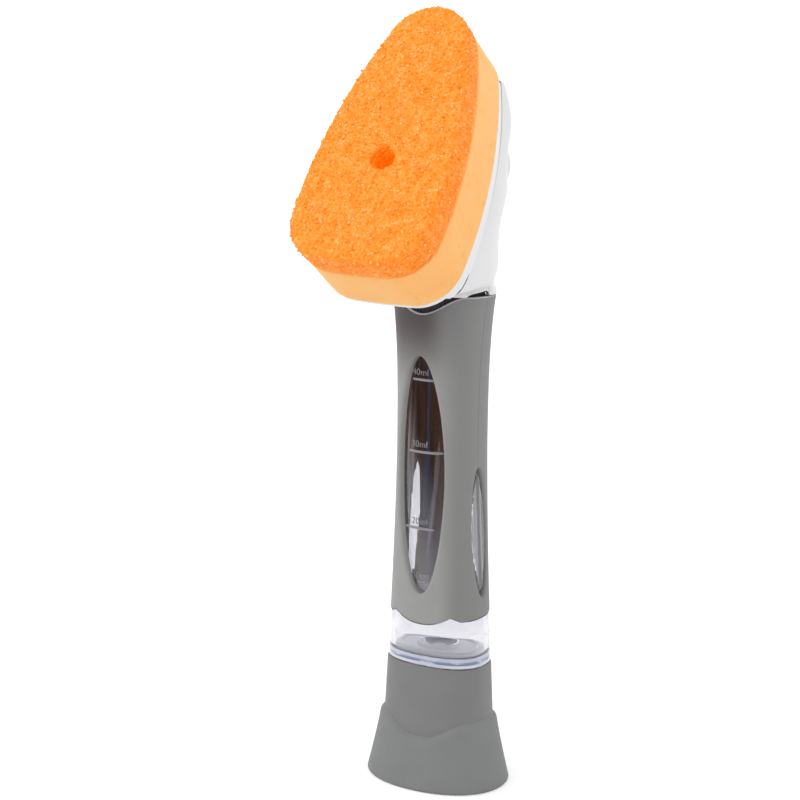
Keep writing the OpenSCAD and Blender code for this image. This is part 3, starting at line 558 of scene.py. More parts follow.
def window_loop(side, grow):
    """A window's outline on the unrolled handle, grown by grow."""
    size, count = (WINDOW, 150) if side == FRONT else (SIDE_WINDOW, 110)
    across, dz = oval_at(turns(count), size["w"] / 2, size["h"] / 2, WINDOW_POWER)
    z = size["z"] + dz
    if side == FRONT:
        c = signed_power(across / half_w(z), POWER / 2)
        theta = 2 * math.pi - np.arccos(np.clip(c, -1, 1))
    else:
        turn = np.arcsin(np.clip(signed_power((size["y"] + across) / half_d(z), POWER / 2), -1, 1))
        theta = 2 * math.pi + turn if side == RIGHT else math.pi - turn
    return offset_loop(stacked(run_of(theta), z), grow)


def offset_loop(points, grow):
    """A closed loop moved outwards by grow."""
    ahead = np.roll(points, -1, 0) - np.roll(points, 1, 0)
    ahead /= np.linalg.norm(ahead, axis=1)[:, None]
    normal = stacked(ahead[:, 1], -ahead[:, 0])
    flip = np.sign(((points - points.mean(0)) * normal).sum(1).sum())
    return points + normal * grow * flip


def inside(points, loop):
    """Which points lie inside a closed loop."""
    x, y = points[:, 0][:, None], points[:, 1][:, None]
    a, b = loop, np.roll(loop, -1, 0)
    crosses = (a[:, 1] > y) != (b[:, 1] > y)
    at = a[:, 0] + (y - a[:, 1]) / (b[:, 1] - a[:, 1] + 1e-12) * (b[:, 0] - a[:, 0])
    return (crosses & (x < at)).sum(1) % 2 == 1


def edge_line(height, move):
    """The hem or top edge along the unrolled handle, moved up by move."""
    s = np.linspace(0, GIRTH, 260)
    at = handle_at(theta_of(s), HEM_CUSP if height is hem_z else GRIP_TOP, 0)
    z = height(at[:, 0]) + move
    return stacked(s, z if height is hem_z else z - fall(at[:, 1]))


def on_sleeve(points, edge_gap=0.0, window_gap=0.0):
    """Which points lie between the hem and the top edge and outside the windows."""
    low, high = edge_line(hem_z, 0).T, edge_line(dip_z, 0).T
    keep = points[:, 1] > np.interp(points[:, 0], *low) + edge_gap
    keep &= points[:, 1] < np.interp(points[:, 0], *high) - edge_gap
    for side in (FRONT, RIGHT, LEFT):
        keep &= ~inside(points, window_loop(side, window_gap))
    return keep


def triangulated(points, edges):
    """Points and triangles of a sheet, and which given point each point comes from, or -1."""
    got = delaunay_2d_cdt([Vector(p) for p in points], edges, [], 0, 1e-6)
    tri = np.array([f for f in got[2] if len(f) == 3])
    return np.array([tuple(v) for v in got[0]]), tri, [ids[0] if ids else -1 for ids in got[3]]


def grip_sleeve():
    points, depth, edges = [], [], []

    def lay(line, drop, closed=False):
        base = len(points)
        points.extend(line.tolist())
        depth.extend([drop] * len(line))
        edges.extend((base + i, base + i + 1) for i in range(len(line) - 1))
        if closed:
            edges.append((base + len(line) - 1, base))

    for angle in np.radians([0, 30, 60, 90]):
        out, drop = EDGE_R * (1 - np.cos(angle)), EDGE_R * (1 - np.sin(angle))
        for side in (FRONT, RIGHT, LEFT):
            lay(window_loop(side, out), drop, True)
        lay(edge_line(hem_z, out), drop)
        lay(edge_line(dip_z, -out), drop)
    z = np.arange(SIDE_WINDOW["z"] + SIDE_WINDOW["h"] / 2 + 3, GRIP_TOP - 2.4, SLEEVE_PITCH)
    seams = run_of(math.pi), run_of(2 * math.pi)
    for seam in seams:
        for aside, drop in ((-PARTING, 0.0), (0.0, PARTING), (PARTING, 0.0)):
            lay(stacked(seam + aside, z), drop)
    columns = np.linspace(0, GIRTH, int(GIRTH / SLEEVE_PITCH))
    rows = np.arange(HEM_LOW, GRIP_TOP + 1, SLEEVE_PITCH)
    grid = np.array([(s, z) for z in rows for s in columns])
    grid = grid[on_sleeve(grid, EDGE_GAP, WINDOW_GAP)]
    for seam in seams:
        grid = grid[np.abs(grid[:, 0] - seam) > SEAM_MARGIN]
    points.extend(grid.tolist())
    depth.extend([0.0] * len(grid))
    flat, tri, source = triangulated(points, edges)
    drop = np.array([depth[i] if i >= 0 else 0.0 for i in source])
    tri = tri[on_sleeve(flat[tri].mean(1))]
    outer = handle_at(theta_of(flat[:, 0]), flat[:, 1], drop)
    inner = handle_at(theta_of(flat[:, 0]), flat[:, 1], GRIP_WALL - SKIN)
    first = {}
    index = np.array([first.setdefault(tuple(p), i) for i, p in enumerate(np.round(outer, 3))])
    tri = index[tri]
    tri = tri[np.diff(np.sort(tri), axis=1).all(1)]
    a, b, c = outer[tri.T]
    facing = np.einsum("ij,ij->i", np.cross(b - a, c - a)[:, :2], ((a + b + c) / 3)[:, :2])
    tri[facing < 0] = tri[facing < 0][:, ::-1]
    sides = [(f[i], f[(i + 1) % 3]) for f in tri.tolist() for i in range(3)]
    known = set(sides)
    n = len(flat)
    faces = tri.tolist() + (tri[:, ::-1] + n).tolist()
    faces += [(j, i, i + n, j + n) for i, j in sides if (j, i) not in known]
    return np.concatenate([outer, inner]), faces, len(tri)


verts, faces, outside = grip_sleeve()
sleeve = make("grip_sleeve_moulded", (verts, faces), "handle", [grey_rubber, sleeve_painted_shade, edge_painted_highlight],
              ["grip_sleeve"])
for i, face in enumerate(sleeve.data.polygons[:2 * outside]):
    x, y, z = face.center / MM
    # inner faces: the painted dark shade inside the sleeve
    if i >= outside:
        face.material_index = 1
    # outer faces on the rounded top edge: the painted highlight
    elif z > dip_z(x) - fall(y) - TOP_LIGHT_DROP and y < TOP_LIGHT_Y:
        face.material_index = 2


# Base: the cup and the skirt with its wavy, sloping edge

def skirt_oval(z, inset):
    k = np.maximum((SKIRT_PEAK - z) / SKIRT_PEAK, 0)
    grow = CUP_FLARE * (CUP_RIM - SKIRT_PEAK) + SKIRT_EDGE
    w = mix(RIM_W + grow, FOOT_W, k ** 1.15)
    d = mix(RIM_D + grow, FOOT_D, k ** 1.3)
    return oval_at(THETA, w - inset, d - inset, mix(POWER, FOOT_POWER, k))


def skirt_z(x):
    reach = RIM_W + CUP_FLARE * CUP_RIM - 1.5 - SKIRT_LEVEL
    return mix(SKIRT_TROUGH, SKIRT_PEAK, ramp((np.abs(x) - SKIRT_LEVEL) / reach))


def base_skirt():
    rings = []
    for a in np.radians([0, 18, 36, 54, 72]):
        z = FOOT_ROUND * (1 - math.cos(a))
        rings.append(stacked(*skirt_oval(z, FOOT_ROUND * (1 - math.sin(a))), z))
    crest = skirt_z(skirt_oval(SKIRT_TROUGH, 0)[0])
    for k in np.linspace(0, 1, 15):
        z = mix(FOOT_ROUND, crest - SKIRT_BEVEL - 0.25, k)
        rings.append(stacked(*skirt_oval(z, 0), z))
    grow = CUP_FLARE * (CUP_RIM - crest) - 0.3
    inner = stacked(*oval_at(THETA, RIM_W + grow, RIM_D + grow, POWER), crest)
    outer = stacked(*skirt_oval(crest - SKIRT_BEVEL, 0), crest - SKIRT_BEVEL)
    for k in (0.12, 0.35, 0.7, 0.92):
        rings.append(mix(outer, inner, k) + [0, 0, SKIRT_SWELL * math.sin(math.pi * k)])
    rings.append(inner * [0.985, 0.98, 1] - [0, 0, 0.3])
    return loft(rings + [cup_ring(FOOT_FLOOR, -FINE)])


def base_cup():
    rings = [cup_ring(z, 0) for z in np.linspace(FOOT_FLOOR, CUP_RIM - CUP_EDGE, 30)]
    rings += rounded_rim(cup_ring, CUP_RIM, 0, CUP_EDGE)
    return loft(rings + [cup_ring(CUP_RIM, CUP_WALL), cup_ring(CUP_RIM - PLUG - 0.2, CUP_WALL)])


make("base_skirt_moulded", base_skirt(), "handle", foot_rubber, ["base_skirt"])
make("base_cup_moulded", base_cup(), "handle", cup_rubber, ["base_cup"])


# Tank

def round_ring(r, z):
    return ring(r, r, 2, z)


def morph(z, inset, r, k):
    """Section between the handle's oval and a round of radius r."""
    return mix(handle_ring(z, inset), round_ring(r, z), k)


def handle_rings(low, high, count, inset):
    return [handle_ring(z, inset) for z in np.linspace(low, high, count)]


def side_bulge(z):
    """How far the tank stands out into its side windows, with upright flutes."""
    y = handle_ring(z, GRIP_WALL)[:, 1] - SIDE_WINDOW["y"]
    w, h = SIDE_WINDOW["w"] / 2 + 0.3, SIDE_WINDOW["h"] / 2 + 0.6
    room = 1 - (np.abs(y) / w) ** WINDOW_POWER - abs((z - SIDE_WINDOW["z"]) / h) ** WINDOW_POWER
    dome = ramp(room / BULGE_EDGE) ** 0.75
    return dome * (BULGE + BULGE_FLUTE * np.sin(2 * math.pi * y / FLUTE))


def tank_wall():
    band, core = BAND_STEP, GRIP_WALL
    line = hem_z(handle_ring(HEM_CUSP, 0)[:, 0]) - 0.08
    outer = [handle_ring(CUP_RIM + FINE, band + 0.5), handle_ring(CUP_RIM + 0.12, band + 0.15)]
    outer += handle_rings(CUP_RIM + 0.5, TANK_FOOT_Z, 6, band)
    outer += handle_rings(TANK_FOOT_Z + 0.5, HEM_LOW - 1.2, 12, band)
    outer += [handle_ring(line, band), handle_ring(line, core + LAYER_GAP)]
    outer += [handle_ring(z, core + LAYER_GAP - side_bulge(z))
              for z in np.linspace(HEM_CUSP + 1.5, SHOULDER_Z - 8, 180)]
    drops = [(6, 0.0), (4.5, 0.03), (3, 0.12), (2, 0.24), (1.2, 0.4), (0.5, 0.65), (0.1, 0.9)]
    outer += [morph(SHOULDER_Z - dz, core, NECK_R, k) for dz, k in drops]
    groove, mouth = SHOULDER_Z + NECK_H / 2, SHOULDER_Z + NECK_H
    low, high, deep = groove - GROOVE_HALF, groove + GROOVE_HALF, NECK_R - GROOVE_DEEP
    inner_top = SHOULDER_Z - TANK_WALL
    neck = [(NECK_R, SHOULDER_Z), (NECK_R, low), (deep, low), (deep, high), (NECK_R, high),
            (NECK_R, mouth - 0.3), (NECK_R - 0.3, mouth), (MOUTH_R, mouth), (MOUTH_R, inner_top + 0.2)]
    outer += [round_ring(r, z) for r, z in neck]
    inner = [morph(inner_top - dz, core + TANK_WALL, MOUTH_R, k) for dz, k in reversed(drops)]
    inner += handle_rings(inner_top - 8, HEM_CUSP, 40, core + TANK_WALL)
    inner += handle_rings(HEM_LOW - 4, TANK_FOOT_Z, 8, band + TANK_WALL)
    inner += handle_rings(TANK_FOOT_Z - 0.5, CUP_RIM + FINE, 6, band + TANK_WALL)
    return loft(outer + inner, closed=True)


def floor_plate():
    inset = BAND_STEP + TANK_WALL + 0.1
    rings = [cup_ring(CUP_RIM - PLUG, inset), cup_ring(CUP_RIM, inset)]
    rings += handle_rings(CUP_RIM + 0.3, FLOOR_TOP - FLOOR_EDGE, 5, inset)
    rings += rounded_rim(handle_ring, FLOOR_TOP, inset, FLOOR_EDGE)
    rings += [handle_ring(FLOOR_TOP, inset + 1.6), handle_ring(FLOOR_TOP - 0.5, inset + 2.1),
              morph(FLOOR_TOP - 0.5, inset + 2.4, FLOOR_RING_R + 1.6, 0.9)]
    for r, z in ((1.0, -0.4), (0.5, 0.65), (0.1, 0.8), (-0.4, 0.7), (-1.0, -0.3), (-1.8, -1.0),
                 (-3.5, -1.3), (-5.4, -1.35)):
        rings.append(round_ring(FLOOR_RING_R + r, FLOOR_TOP + z))
    return loft(rings)


tank = make("tank_clear", tank_wall(), "handle", [clear_plastic, flange_painted_light], ["reservoir"])
# The tank's foot below TANK_FOOT_Z takes the flange's painted shade, highlights and reflections.
for face in tank.data.polygons:
    if face.center.z < TANK_FOOT_Z * MM:
        face.material_index = 1
plate = make("tank_floor_clear", floor_plate(), "handle", [floor_plastic, ring_painted_highlight, ring_painted_shade],
             ["reservoir_floor"])
# The ring's rear crest takes the painted highlight and its rear inner wall the painted shade.
for face in plate.data.polygons:
    x, y, z = face.center / MM
    r = math.hypot(x, y)
    if r < FLOOR_RING_R + 1.3 and z > FLOOR_TOP - 1.2:
        if z > FLOOR_TOP + 0.45 and y > -1.5:
            face.material_index = 1
        elif r < FLOOR_RING_R - 0.3 and y > 0:
            face.material_index = 2


def on_tank(x, z, proud):
    """Point on the front of the tank's wall under the window."""
    w, d = half_w(z) - GRIP_WALL, half_d(z) - GRIP_WALL
    y = -d * (1 - (np.abs(x) / w) ** POWER) ** (1 / POWER)
    return stacked(x, y - proud, z)


def mark_bar(z, width, centre):
    """A raised bar with a rounded section and ends, bent over the tank."""
    section = np.linspace(0, math.pi, 9)
    rings = []
    for a in np.linspace(-1, 1, 41):
        end = max(1 - abs(a) ** 12, 0) ** 0.5
        proud = BAR_PROUD * end * np.sin(section) - BAR_SUNK
        rings.append(on_tank(centre + a * width / 2, z + BAR_HALF * end * np.cos(section), proud))
    return loft(rings)


def mark_number(text, z, centre):
    """A raised volume number, bent over the tank."""
    curve = bpy.data.curves.new("number", "FONT")
    curve.body, curve.size, curve.align_x = text, NUMBER_SIZE, "CENTER"
    curve.extrude, curve.offset, curve.resolution_u = 0.12, -0.03, 3
    obj = link("number", curve)
    bpy.context.view_layer.update()
    mesh = obj.evaluated_get(bpy.context.evaluated_depsgraph_get()).to_mesh()
    raw = np.array([tuple(v.co) for v in mesh.vertices])
    faces = [tuple(p.vertices) for p in mesh.polygons]
    bpy.data.objects.remove(obj)
    bpy.data.curves.remove(curve)
    return on_tank(centre + raw[:, 0], z + raw[:, 1], raw[:, 2] + 0.1), faces


marks = [mark_bar(*bar) for bar in ((71.4, 3.4, 0.0), (90, 11.7, -1.2), (116.2, 12.6, 1.2),
                                    (140.3, 8.0, 0.2))]
marks += [mark_number(text, z, -0.6) for text, z in
          (("10ml", 72.8), ("20ml", 91.5), ("30ml", 117.8), ("40ml", 141.8))]
make("volume_marks", join(marks), "handle", mark_plastic)


# Pad frame: across, up the sponge's back, out of its scrubbing face

PAD_V = np.array([0, math.sin(PAD_TILT), math.cos(PAD_TILT)])
PAD_N = np.array([0, -math.cos(PAD_TILT), math.sin(PAD_TILT)])
PAD_0 = np.array([0, -PAD_REACH, PAD_Z0])


def pad_point(u, v, t):
    return PAD_0 + stacked(u, v, t) @ np.array([[1.0, 0, 0], PAD_V, PAD_N])


def on_pad(shape):
    """A shape's (u, v, t) points moved to their places on the leaning sponge."""
    return pad_point(*shape[0].T), shape[1]


def side_circle():
    corner, tip = np.array([CORNER_U, CORNER_R]), np.array([0, PAD_L - TIP_R])
    d = np.linalg.norm(tip - corner)
    along = ((SIDE_R - CORNER_R) ** 2 - (SIDE_R - TIP_R) ** 2 + d * d) / (2 * d)
    away = math.sqrt((SIDE_R - CORNER_R) ** 2 - along ** 2)
    u = (tip - corner) / d
    return corner + along * u + away * np.array([-u[1], u[0]])


SIDE_C = side_circle()
LOW_V = CORNER_R + math.sqrt((BASE_R - CORNER_R) ** 2 - CORNER_U ** 2)


def heading(a, b):
    return math.atan2(b[1] - a[1], b[0] - a[0])


def end_circle(length, r):
    v = length - r
    return np.array([SIDE_C[0] + math.sqrt((SIDE_R - r) ** 2 - (v - SIDE_C[1]) ** 2), v])


def outline(length, r, inset, count=200):
    """Closed outline of count even points, drawn in by inset."""
    corner, low = np.array([CORNER_U, CORNER_R]), np.array([0, LOW_V])
    end = end_circle(length, r)
    a0, a1, a2 = heading(low, corner), heading(SIDE_C, corner), heading(SIDE_C, end)
    spans = [(low, BASE_R, -math.pi / 2, a0), (corner, CORNER_R, a0, a1),
             (SIDE_C, SIDE_R, a1, a2), (end, r, a2, math.pi / 2)]
    half = [[[0, LOW_V - BASE_R + inset]]]
    for centre, radius, a, b in spans:
        t = np.linspace(a, b, 80)
        half.append(centre + (radius - inset) * stacked(np.cos(t), np.sin(t)))
    half = np.concatenate(half + [[[0, length - inset]]])
    run = run_along(half)
    s = np.linspace(0, run[-1], count // 2 + 1)
    right = stacked(np.interp(s, run, half[:, 0]), np.interp(s, run, half[:, 1]))
    right[0, 0] = right[-1, 0] = 0
    return np.concatenate([right, right[1:-1][::-1] * [-1, 1]])


def plate_half(v, inset=0.0):
    """Half width of the plates' outline at height v, drawn in by inset."""
    end = end_circle(PLATE_L, PLATE_CORNER)
    low_r, high_r = CORNER_R - inset, PLATE_CORNER - inset
    v1 = CORNER_R + low_r * math.sin(heading(SIDE_C, (CORNER_U, CORNER_R)))
    v2 = end[1] + high_r * math.sin(heading(SIDE_C, end))
    if v < v1:
        return CORNER_U + math.sqrt(max(low_r ** 2 - (v - CORNER_R) ** 2, 0))
    if v < v2:
        return SIDE_C[0] + math.sqrt((SIDE_R - inset) ** 2 - (v - SIDE_C[1]) ** 2)
    return end[0] + math.sqrt(max(high_r ** 2 - (v - end[1]) ** 2, 0))


def circle(radius, centre, count):
    t = turns(count)
    return centre + radius * stacked(np.cos(t), np.sin(t))


def face_mesh(loops, pitch, margin):
    """Triangles filling the first loop and leaving out the others, with an even grid inside."""
    points, edges = [], []
    for loop in loops:
        base = len(points)
        points.extend(loop.tolist())
        edges.extend((base + i, base + (i + 1) % len(loop)) for i in range(len(loop)))
    low, high = loops[0].min(0), loops[0].max(0)
    us = np.arange(low[0], high[0], pitch)
    vs = np.arange(low[1], high[1], pitch * 0.866)
    grid = np.array([(u + (k % 2) * pitch / 2, v) for k, v in enumerate(vs) for u in us])
    grid += random.uniform(-0.12, 0.12, grid.shape) * pitch

    def within(p, gap):
        keep = inside(p, offset_loop(loops[0], -gap))
        for loop in loops[1:]:
            keep &= ~inside(p, offset_loop(loop, gap))
        return keep

    points.extend(grid[within(grid, margin)].tolist())
    flat, tri = triangulated(points, edges)[:2]
    tri = tri[within(flat[tri].mean(1), 0)]
    a, b, c = flat[tri.T]
    ab, ac = (b - a).T, (c - a).T
    area = ab[0] * ac[1] - ac[0] * ab[1]
    tri[area < 0] = tri[area < 0][:, ::-1]
    return flat, tri


def slab(outer, holes, low_t, high_t, round_r, pitch, levels):
    """A closed slab with rounded edges, as (u, v, t) points and faces.
    outer is a function of the inset, and holes are (radius, centre) pairs."""
    bend = [round_r * (1 - np.array([math.sin(a), math.cos(a)])) for a in np.radians([0, 25, 50, 75, 90])]
    profile = [(inset, low_t + rise) for inset, rise in bend]
    profile += [(0.0, t) for t in np.linspace(low_t + round_r, high_t - round_r, levels)[1:-1]]
    profile += [(inset, high_t - rise) for inset, rise in bend[::-1]]
    walls = [outer]
    for radius, centre in holes:
        count = max(24, int(2 * math.pi * radius / pitch))
        walls.append(lambda inset, r=radius, c=centre, k=count: circle(r + 0.4 * inset, c, k))
    parts = []
    for wall in walls:
        verts, faces = loft([stacked(*wall(inset).T, t) for inset, t in profile], caps=(False, False))
        parts.append((verts, faces if wall is outer else turned_over(faces)))
    flat, tri = face_mesh([wall(round_r) for wall in walls], pitch, pitch * 0.7)
    parts += [(stacked(*flat.T, low_t), tri[:, ::-1].tolist()), (stacked(*flat.T, high_t), tri.tolist())]
    return weld(*join(parts))


def weld(verts, faces):
    """Joins points in the same place."""
    _, first, back = np.unique(np.round(verts, 4), axis=0, return_index=True, return_inverse=True)
    back = back.ravel()
    out = []
    for f in faces:
        g = [int(back[i]) for i in f]
        g = [i for k, i in enumerate(g) if i != g[k - 1]]
        if len(g) > 2:
            out.append(tuple(g))
    return verts[first], out


# Plates behind the sponge

def backing_outline(inset):
    return outline(PLATE_L, PLATE_CORNER, BACKING_INSET + inset)


def carrier_outline(inset):
    """The plate's outline with its lower end cut off and the corners of the cut eased."""
    points = outline(PLATE_L, PLATE_CORNER, HEAD_INSET + inset)
    low, blend = CARRIER_LOW + inset, 0.7
    over = points[:, 1] - low
    eased = low + 0.5 * (over + np.sqrt(over * over + blend * blend)) - 0.5 * blend
    points[:, 1] = np.maximum(np.minimum(eased, points[:, 1] + 8), low)
    return points


SPONGE_HOLE = (HOLE_R, (0.0, HOLE_V))
parts = [on_pad(slab(backing_outline, [SPONGE_HOLE], -BACKING_T, 0.0, 0.45, PLATE_PITCH, 3))]
post = [(POST_R, 0), (POST_R, POST_L - 0.9), (POST_R - 0.25, POST_L - 0.35),
        (POST_R - 0.8, POST_L + 0.1), (POST_R - 1.2, POST_L + 0.3)]
parts += [loft(turned(post, pad_point(*spot, -BACKING_T + 0.3), -PAD_N, 40)) for spot in POSTS]
make("backing_plate_moulded", join(parts), "sponge", plate_plastic, ["backing_plate"])

holes = [(NOZZLE_R + FINE, (0.0, HOLE_V))] + [(POST_R + 0.3, spot) for spot in POSTS]
v, f = slab(carrier_outline, holes, CARRIER_BACK - 0.15, CARRIER_FRONT, 0.1, PLATE_PITCH, 3)
back_k = np.clip((CARRIER_FRONT - v[:, 2]) / (CARRIER_FRONT - CARRIER_BACK), 0, 1)
v[:, 1] += CARRIER_TAPER * back_k * np.clip((11 - v[:, 1]) / 5, 0, 1)
rear = v[:, 2] < CARRIER_BACK + 0.5
v[rear, 2] += SEAM_GAP * np.exp(-((v[rear, 1] - SEAM_V) / SEAM_REACH) ** 4)
make("carrier_plate_moulded", on_pad((v, f)), "head", plate_plastic, ["carrier_plate"])


# Head shell

def face_v(z):
    return (z - PAD_Z0 - CARRIER_BACK * math.sin(PAD_TILT)) / math.cos(PAD_TILT)


def face_y(z):
    return pad_point(0.0, face_v(z), CARRIER_BACK)[1]


def head_ring(z, inset):
    s = ramp((z - 0.8 * inset - HEAD_Z0) / BELLY_H)
    w = mix(TOP_W, plate_half(face_v(z), HEAD_INSET), s) - inset
    mid = mix(0, face_y(z), s ** 1.25)
    front = mix(-TOP_D, face_y(z) - 8, s) + inset
    top, r = HEAD_TOP - inset, HEAD_ROUND - inset
    k = max((z - (top - r)) / r, 0)
    dome = r * (1 - math.sqrt(max(1 - k * k, 0)))
    back = mix(TOP_D, HEAD_BACK, ramp((z - GRIP_TOP - BACK_LEVEL) / BACK_SPAN)) - inset - dome
    lower = mix(POWER, 2, ramp((z - HEAD_Z0) / ROUND_SPAN))
    power = mix(lower, SQUARE_POWER, ramp((z - GRIP_TOP - SQUARE_LEVEL) / SQUARE_SPAN))
    return ring(w, mid - front, power, z, mid, back - mid)


def arched(rings):
    """Bends the shell's foot into its two side arches and the fall of its rim, fading out above."""
    for p in rings:
        low = np.clip(1 - (p[:, 2] - HEAD_Z0) / ARCH_FADE, 0, 1)
        k = np.clip((p[:, 1] + ARCH_FRONT) / (ARCH_FRONT + ARCH_REAR), 0, 1)
        rise = np.minimum(k / ARCH_PEAK, 1) ** 0.45
        drop = np.sqrt(1 - (np.maximum(k - ARCH_PEAK, 0) / (1 - ARCH_PEAK)) ** 2)
        lift = ARCH_H * rise * drop * (np.abs(p[:, 0]) > ARCH_BESIDE)
        reach = LIP_DROP * np.clip((ARCH_FRONT_LIP - p[:, 1]) / 2, 0, 1)
        p[:, 2] += (lift - reach - fall(p[:, 1])) * low
    return rings


def shell_wall(z):
    """Wall thickness, thinning to a fine lip at the shell's foot."""
    return mix(LIP_WALL, HEAD_WALL, ramp((z - HEAD_Z0 - LIP_LEVEL) / LIP_SPAN))


def head_shell():
    levels = [*np.linspace(HEAD_Z0, HEAD_Z0 + 9, 19),
              *np.linspace(HEAD_Z0 + 9, HEAD_TOP - HEAD_ROUND, 60)[1:]]
    domed = np.sin(np.radians([0, 15, 30, 45, 60, 75, 90]))
    outer = arched([head_ring(z, 0) for z in levels])
    outer += [head_ring(HEAD_TOP - HEAD_ROUND * (1 - k), 0) for k in domed[1:]]
    inner_r = HEAD_ROUND - HEAD_WALL
    inner = arched([head_ring(z, shell_wall(z)) for z in levels])
    inner += [head_ring(HEAD_TOP - HEAD_WALL - inner_r * (1 - k), HEAD_WALL) for k in domed]
    lip = [mix(outer[0], inner[0], k) for k in (0.15, 0.5, 0.85)]
    v_out, f_out = loft(outer, caps=(False, True))
    v_in, f_in = loft(inner, caps=(False, True))
    around_lip = loft([inner[0]] + lip[::-1] + [outer[0]], caps=(False, False))
    return weld(*join([(v_out, f_out), (v_in, turned_over(f_in)), around_lip]))


def trim_head(obj):
    """Cuts the shell back to the carrier's plane and opens it for the button's ring."""
    axis_z, r, behind = VALVE_Z * MM, RING_R * MM, REAR_Y * MM
    bm = bmesh.new()
    bm.from_mesh(obj.data)
    plane = pad_point(0.0, 0.0, CARRIER_BACK) * MM
    bmesh.ops.bisect_plane(bm, geom=bm.verts[:] + bm.edges[:] + bm.faces[:], dist=1e-7,
                           plane_co=Vector(plane), plane_no=Vector(PAD_N), clear_outer=True)
    centres = [(face, face.calc_center_median()) for face in bm.faces]
    doomed = [face for face, c in centres if c.y > behind and math.hypot(c.x, c.z - axis_z) < r]
    bmesh.ops.delete(bm, geom=doomed, context="FACES")
    fit = r - 0.0001
    for vert in (vert for edge in bm.edges if edge.is_boundary for vert in edge.verts):
        d = math.hypot(vert.co.x, vert.co.z - axis_z)
        if vert.co.y > behind and 0.6 * r < d < 1.25 * r:
            vert.co.x *= fit / d
            vert.co.z = axis_z + (vert.co.z - axis_z) * fit / d
    bm.to_mesh(obj.data)
    bm.free()
    obj.data.shade_smooth()
    obj.data.set_sharp_from_angle(angle=math.radians(40))


trim_head(make("head_shell_moulded", head_shell(), "head", white_plastic, ["head_shell"]))

# Collar socket inside the shell's foot
socket = [(COLLAR_R + 0.1, 2.2), (COLLAR_R + 0.1, 9.0), (COLLAR_R + 1.7, 9.0), (COLLAR_R + 1.7, 3.0)]
rings = turned(socket, (0, 0, HEAD_Z0), (0, 0, 1))
make("collar_socket", loft(rings, closed=True), "head", dark_plastic)

# Painted shade: a dark sheet inside the shell's foot, seen through the arches, with a dark disc under it,
# standing in for the shade there
heights = np.linspace(HEAD_Z0 + 0.2, HEAD_Z0 + 5.5, 8)
outer = arched([head_ring(z, shell_wall(z) + FINE) for z in heights])
inner = arched([head_ring(z, shell_wall(z) + 0.9) for z in heights])
wide = handle_ring(GRIP_TOP - 1.2, 2.3)
narrow = round_ring(COLLAR_R - 0.3, GRIP_TOP - 1.2)
for line in (wide, narrow):
    line[:, 2] -= fall(line[:, 1])
disc = [wide, narrow, narrow + [0, 0, 0.5], wide + [0, 0, 0.5]]
shade_sheet = join([loft(outer + inner[::-1], closed=True), loft(disc, closed=True)])
make("foot_shade_sheet", shade_sheet, "head", dark_plastic)


# Sponge

def cells(points, size, seed):
    """Distance to the nearest and second nearest of scattered seeds, size apart, in units of size."""
    rng = np.random.default_rng(seed)
    low = points.min(0) - 2 * size
    shape = np.ceil((points.max(0) + 2 * size - low) / size).astype(int) + 1
    jitter = rng.uniform(0, 1, (*shape, 3))
    base = np.floor((points - low) / size).astype(int)
    best = np.full((len(points), 2), 9.0)
    for step in np.ndindex(3, 3, 3):
        cell = base + step - 1
        seeds = cell + jitter[tuple((cell % shape).T)]
        d = np.linalg.norm(seeds - (points - low) / size, axis=1)
        worse = d >= best[:, 0]
        best[:, 1] = np.where(worse, np.minimum(best[:, 1], d), best[:, 0])
        best[:, 0] = np.where(worse, best[:, 0], d)
    return best


def vertex_normals(verts, faces):
    tri = np.array([(f[0], f[i], f[i + 1]) for f in faces for i in range(1, len(f) - 1)])
    a, b, c = verts[tri.T]
    out = np.zeros_like(verts)
    for corner in tri.T:
        np.add.at(out, corner, np.cross(b - a, c - a))
    return out / (np.linalg.norm(out, axis=1)[:, None] + 1e-12)


def rough_hole(points):
    """Points round the sponge's hole moved to give it an uneven, hand-punched edge."""
    d = points - [0, HOLE_V]
    a = np.arctan2(d[:, 1], d[:, 0])
    k = np.sin(2 * a + 1.3) + 0.8 * np.sin(3 * a + 2.6) + 0.5 * np.sin(7 * a + 3.9)
    return [0.4, HOLE_V] + d * [0.86, 1.0] * (1 + 0.055 * k)[:, None]


def foam_pad():
    v, f = slab(lambda inset: outline(PAD_L, TIP_R, inset, 280), [SPONGE_HOLE], LAYER_GAP, FOAM_T,
                0.9, FOAM_PITCH, 20)
    normal = vertex_normals(v, f)
    pore = np.zeros(len(v))
    for centre in v[random.integers(0, len(v), PORES)]:
        size = random.uniform(0.25, 0.6)
        pore = np.maximum(pore, np.clip(1 - np.linalg.norm(v - centre, axis=1) / size, 0, 1))
    soft = 0.16 * (cells(v, 9.0, 4)[:, 0] - 0.5)
    v = v + normal * (soft - PORE_DEEP * pore - 0.1)[:, None]
    v[:, 2] = np.maximum(v[:, 2], LAYER_GAP)
    return v, f, pore


